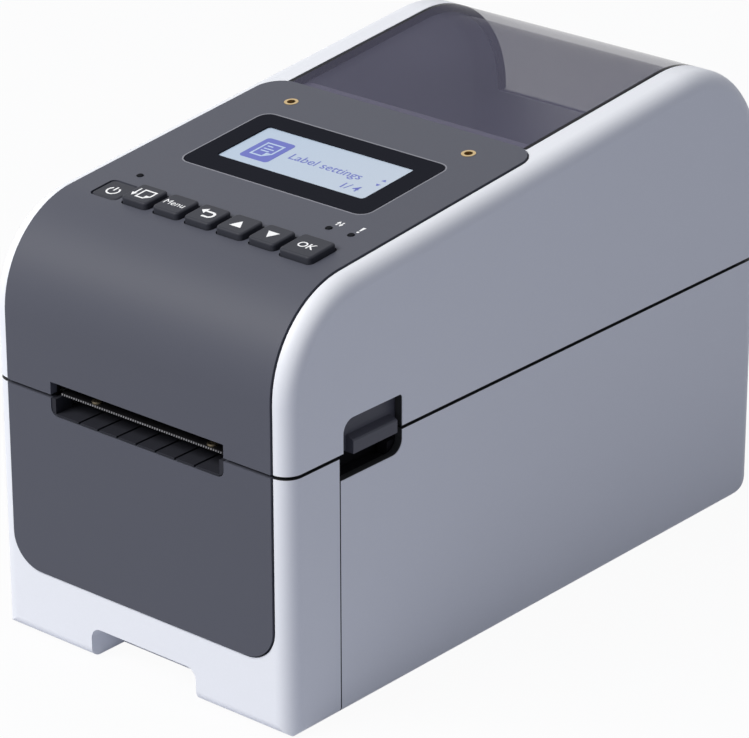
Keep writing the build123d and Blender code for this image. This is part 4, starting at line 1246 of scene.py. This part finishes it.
@dataclass(frozen=True)
class Lens:
    """Camera at the photograph's angle: aimed at a point, then slid across its own view."""

    turn: float = 40.644
    lift: float = 23.461
    roll: float = -0.115
    focal: float = 192.08
    distance: float = 1.1565
    target: tuple[float, float, float] = (0.0, -0.0035, 0.075)
    slide: tuple[float, float] = (0.002219, 0.012773)

    def mount(self) -> None:
        """Make the scene's camera; its axes come from the turn, the lift and the roll."""
        turn, lift, roll = (math.radians(angle) for angle in (self.turn, self.lift, self.roll))
        back = Vector((math.sin(turn) * math.cos(lift), -math.cos(turn) * math.cos(lift), math.sin(lift)))
        level = Vector((math.cos(turn), math.sin(turn), 0.0))
        upright = back.cross(level)
        right = level * math.cos(roll) + upright * math.sin(roll)
        up = upright * math.cos(roll) - level * math.sin(roll)
        place = Vector(self.target) + back * self.distance - right * self.slide[0] - up * self.slide[1]
        data = bpy.data.cameras.new("camera")
        data.lens = self.focal
        data.sensor_width = 36.0
        data.clip_start, data.clip_end = 0.01, 50.0
        camera = bpy.data.objects.new("camera", data)
        camera.matrix_world = Matrix.Translation(place) @ Matrix((right, up, back)).transposed().to_4x4()
        bpy.context.scene.collection.objects.link(camera)
        bpy.context.scene.camera = camera


@dataclass
class Studio:
    """Floor, lights, world and camera."""

    floor_half: float = 6.0
    floor_lines: int = 9
    ambient: float = 0.3
    ambient_tint: Colour = (0.84, 0.87, 1.0)
    lamps: tuple[Softbox, ...] = (
        Softbox("key_light", (-0.5, -1.12, 1.25), 0.9, 31.5, (1.0, 0.98, 0.93)),
        Softbox("top_light", (0.1, 0.35, 1.5), 1.0, 1.5),
    )

    def build(self) -> None:
        """Set up everything round the printer."""
        self.lay_floor()
        self.light_world()
        for lamp in self.lamps:
            lamp.hang()
        Lens().mount()
        bpy.context.scene.view_settings.view_transform = "Standard"

    def lay_floor(self) -> None:
        """Flat square grid under the feet: x and y run over +-half, z is nought."""
        lines = self.floor_lines
        steps = np.linspace(-self.floor_half, self.floor_half, lines)
        x, y = np.meshgrid(steps, steps, indexing="ij")
        points = np.stack([x, y, np.zeros_like(x)], axis=-1).reshape(-1, 3)
        i, j = np.meshgrid(np.arange(lines - 1), np.arange(lines - 1), indexing="ij")
        first = (i * lines + j).ravel()
        mesh = bpy.data.meshes.new("floor")
        quads = np.stack([first, first + lines, first + lines + 1, first + 1], axis=1)
        mesh.from_pydata(points.tolist(), [], quads.tolist())
        mesh.materials.append(FloorFinish().material())
        floor = bpy.data.objects.new("floor", mesh)
        bpy.context.scene.collection.objects.link(floor)

    def light_world(self) -> None:
        """Even cool ambient light that the eye, mirrors and clear plastic see as white."""
        world = bpy.data.worlds.new("studio")
        world.use_nodes = True
        graph = Graph(world.node_tree)
        seen = self_lit(graph)
        tone = graph.mix(tinted(self.ambient_tint, self.ambient), (1.0, 1.0, 1.0), seen)
        sky = graph.node("ShaderNodeBackground", None, {"Color": tone, "Strength": 1.0})
        graph.node("ShaderNodeOutputWorld", None, {"Surface": sky})
        bpy.context.scene.world = world


def main() -> None:
    """Build the printer's sub-assemblies in order, then the studio."""
    for assembly in (
        Housing(),
        ControlDeck(),
        KeyRow(),
        Display(),
        ExitMouth(),
        Release(),
        RollBay(),
        Drive(),
        RearSockets(),
        Studio(),
    ):
        log.info("-- %s", type(assembly).__name__)
        assembly.build()


if __name__ == "__main__":
    main()
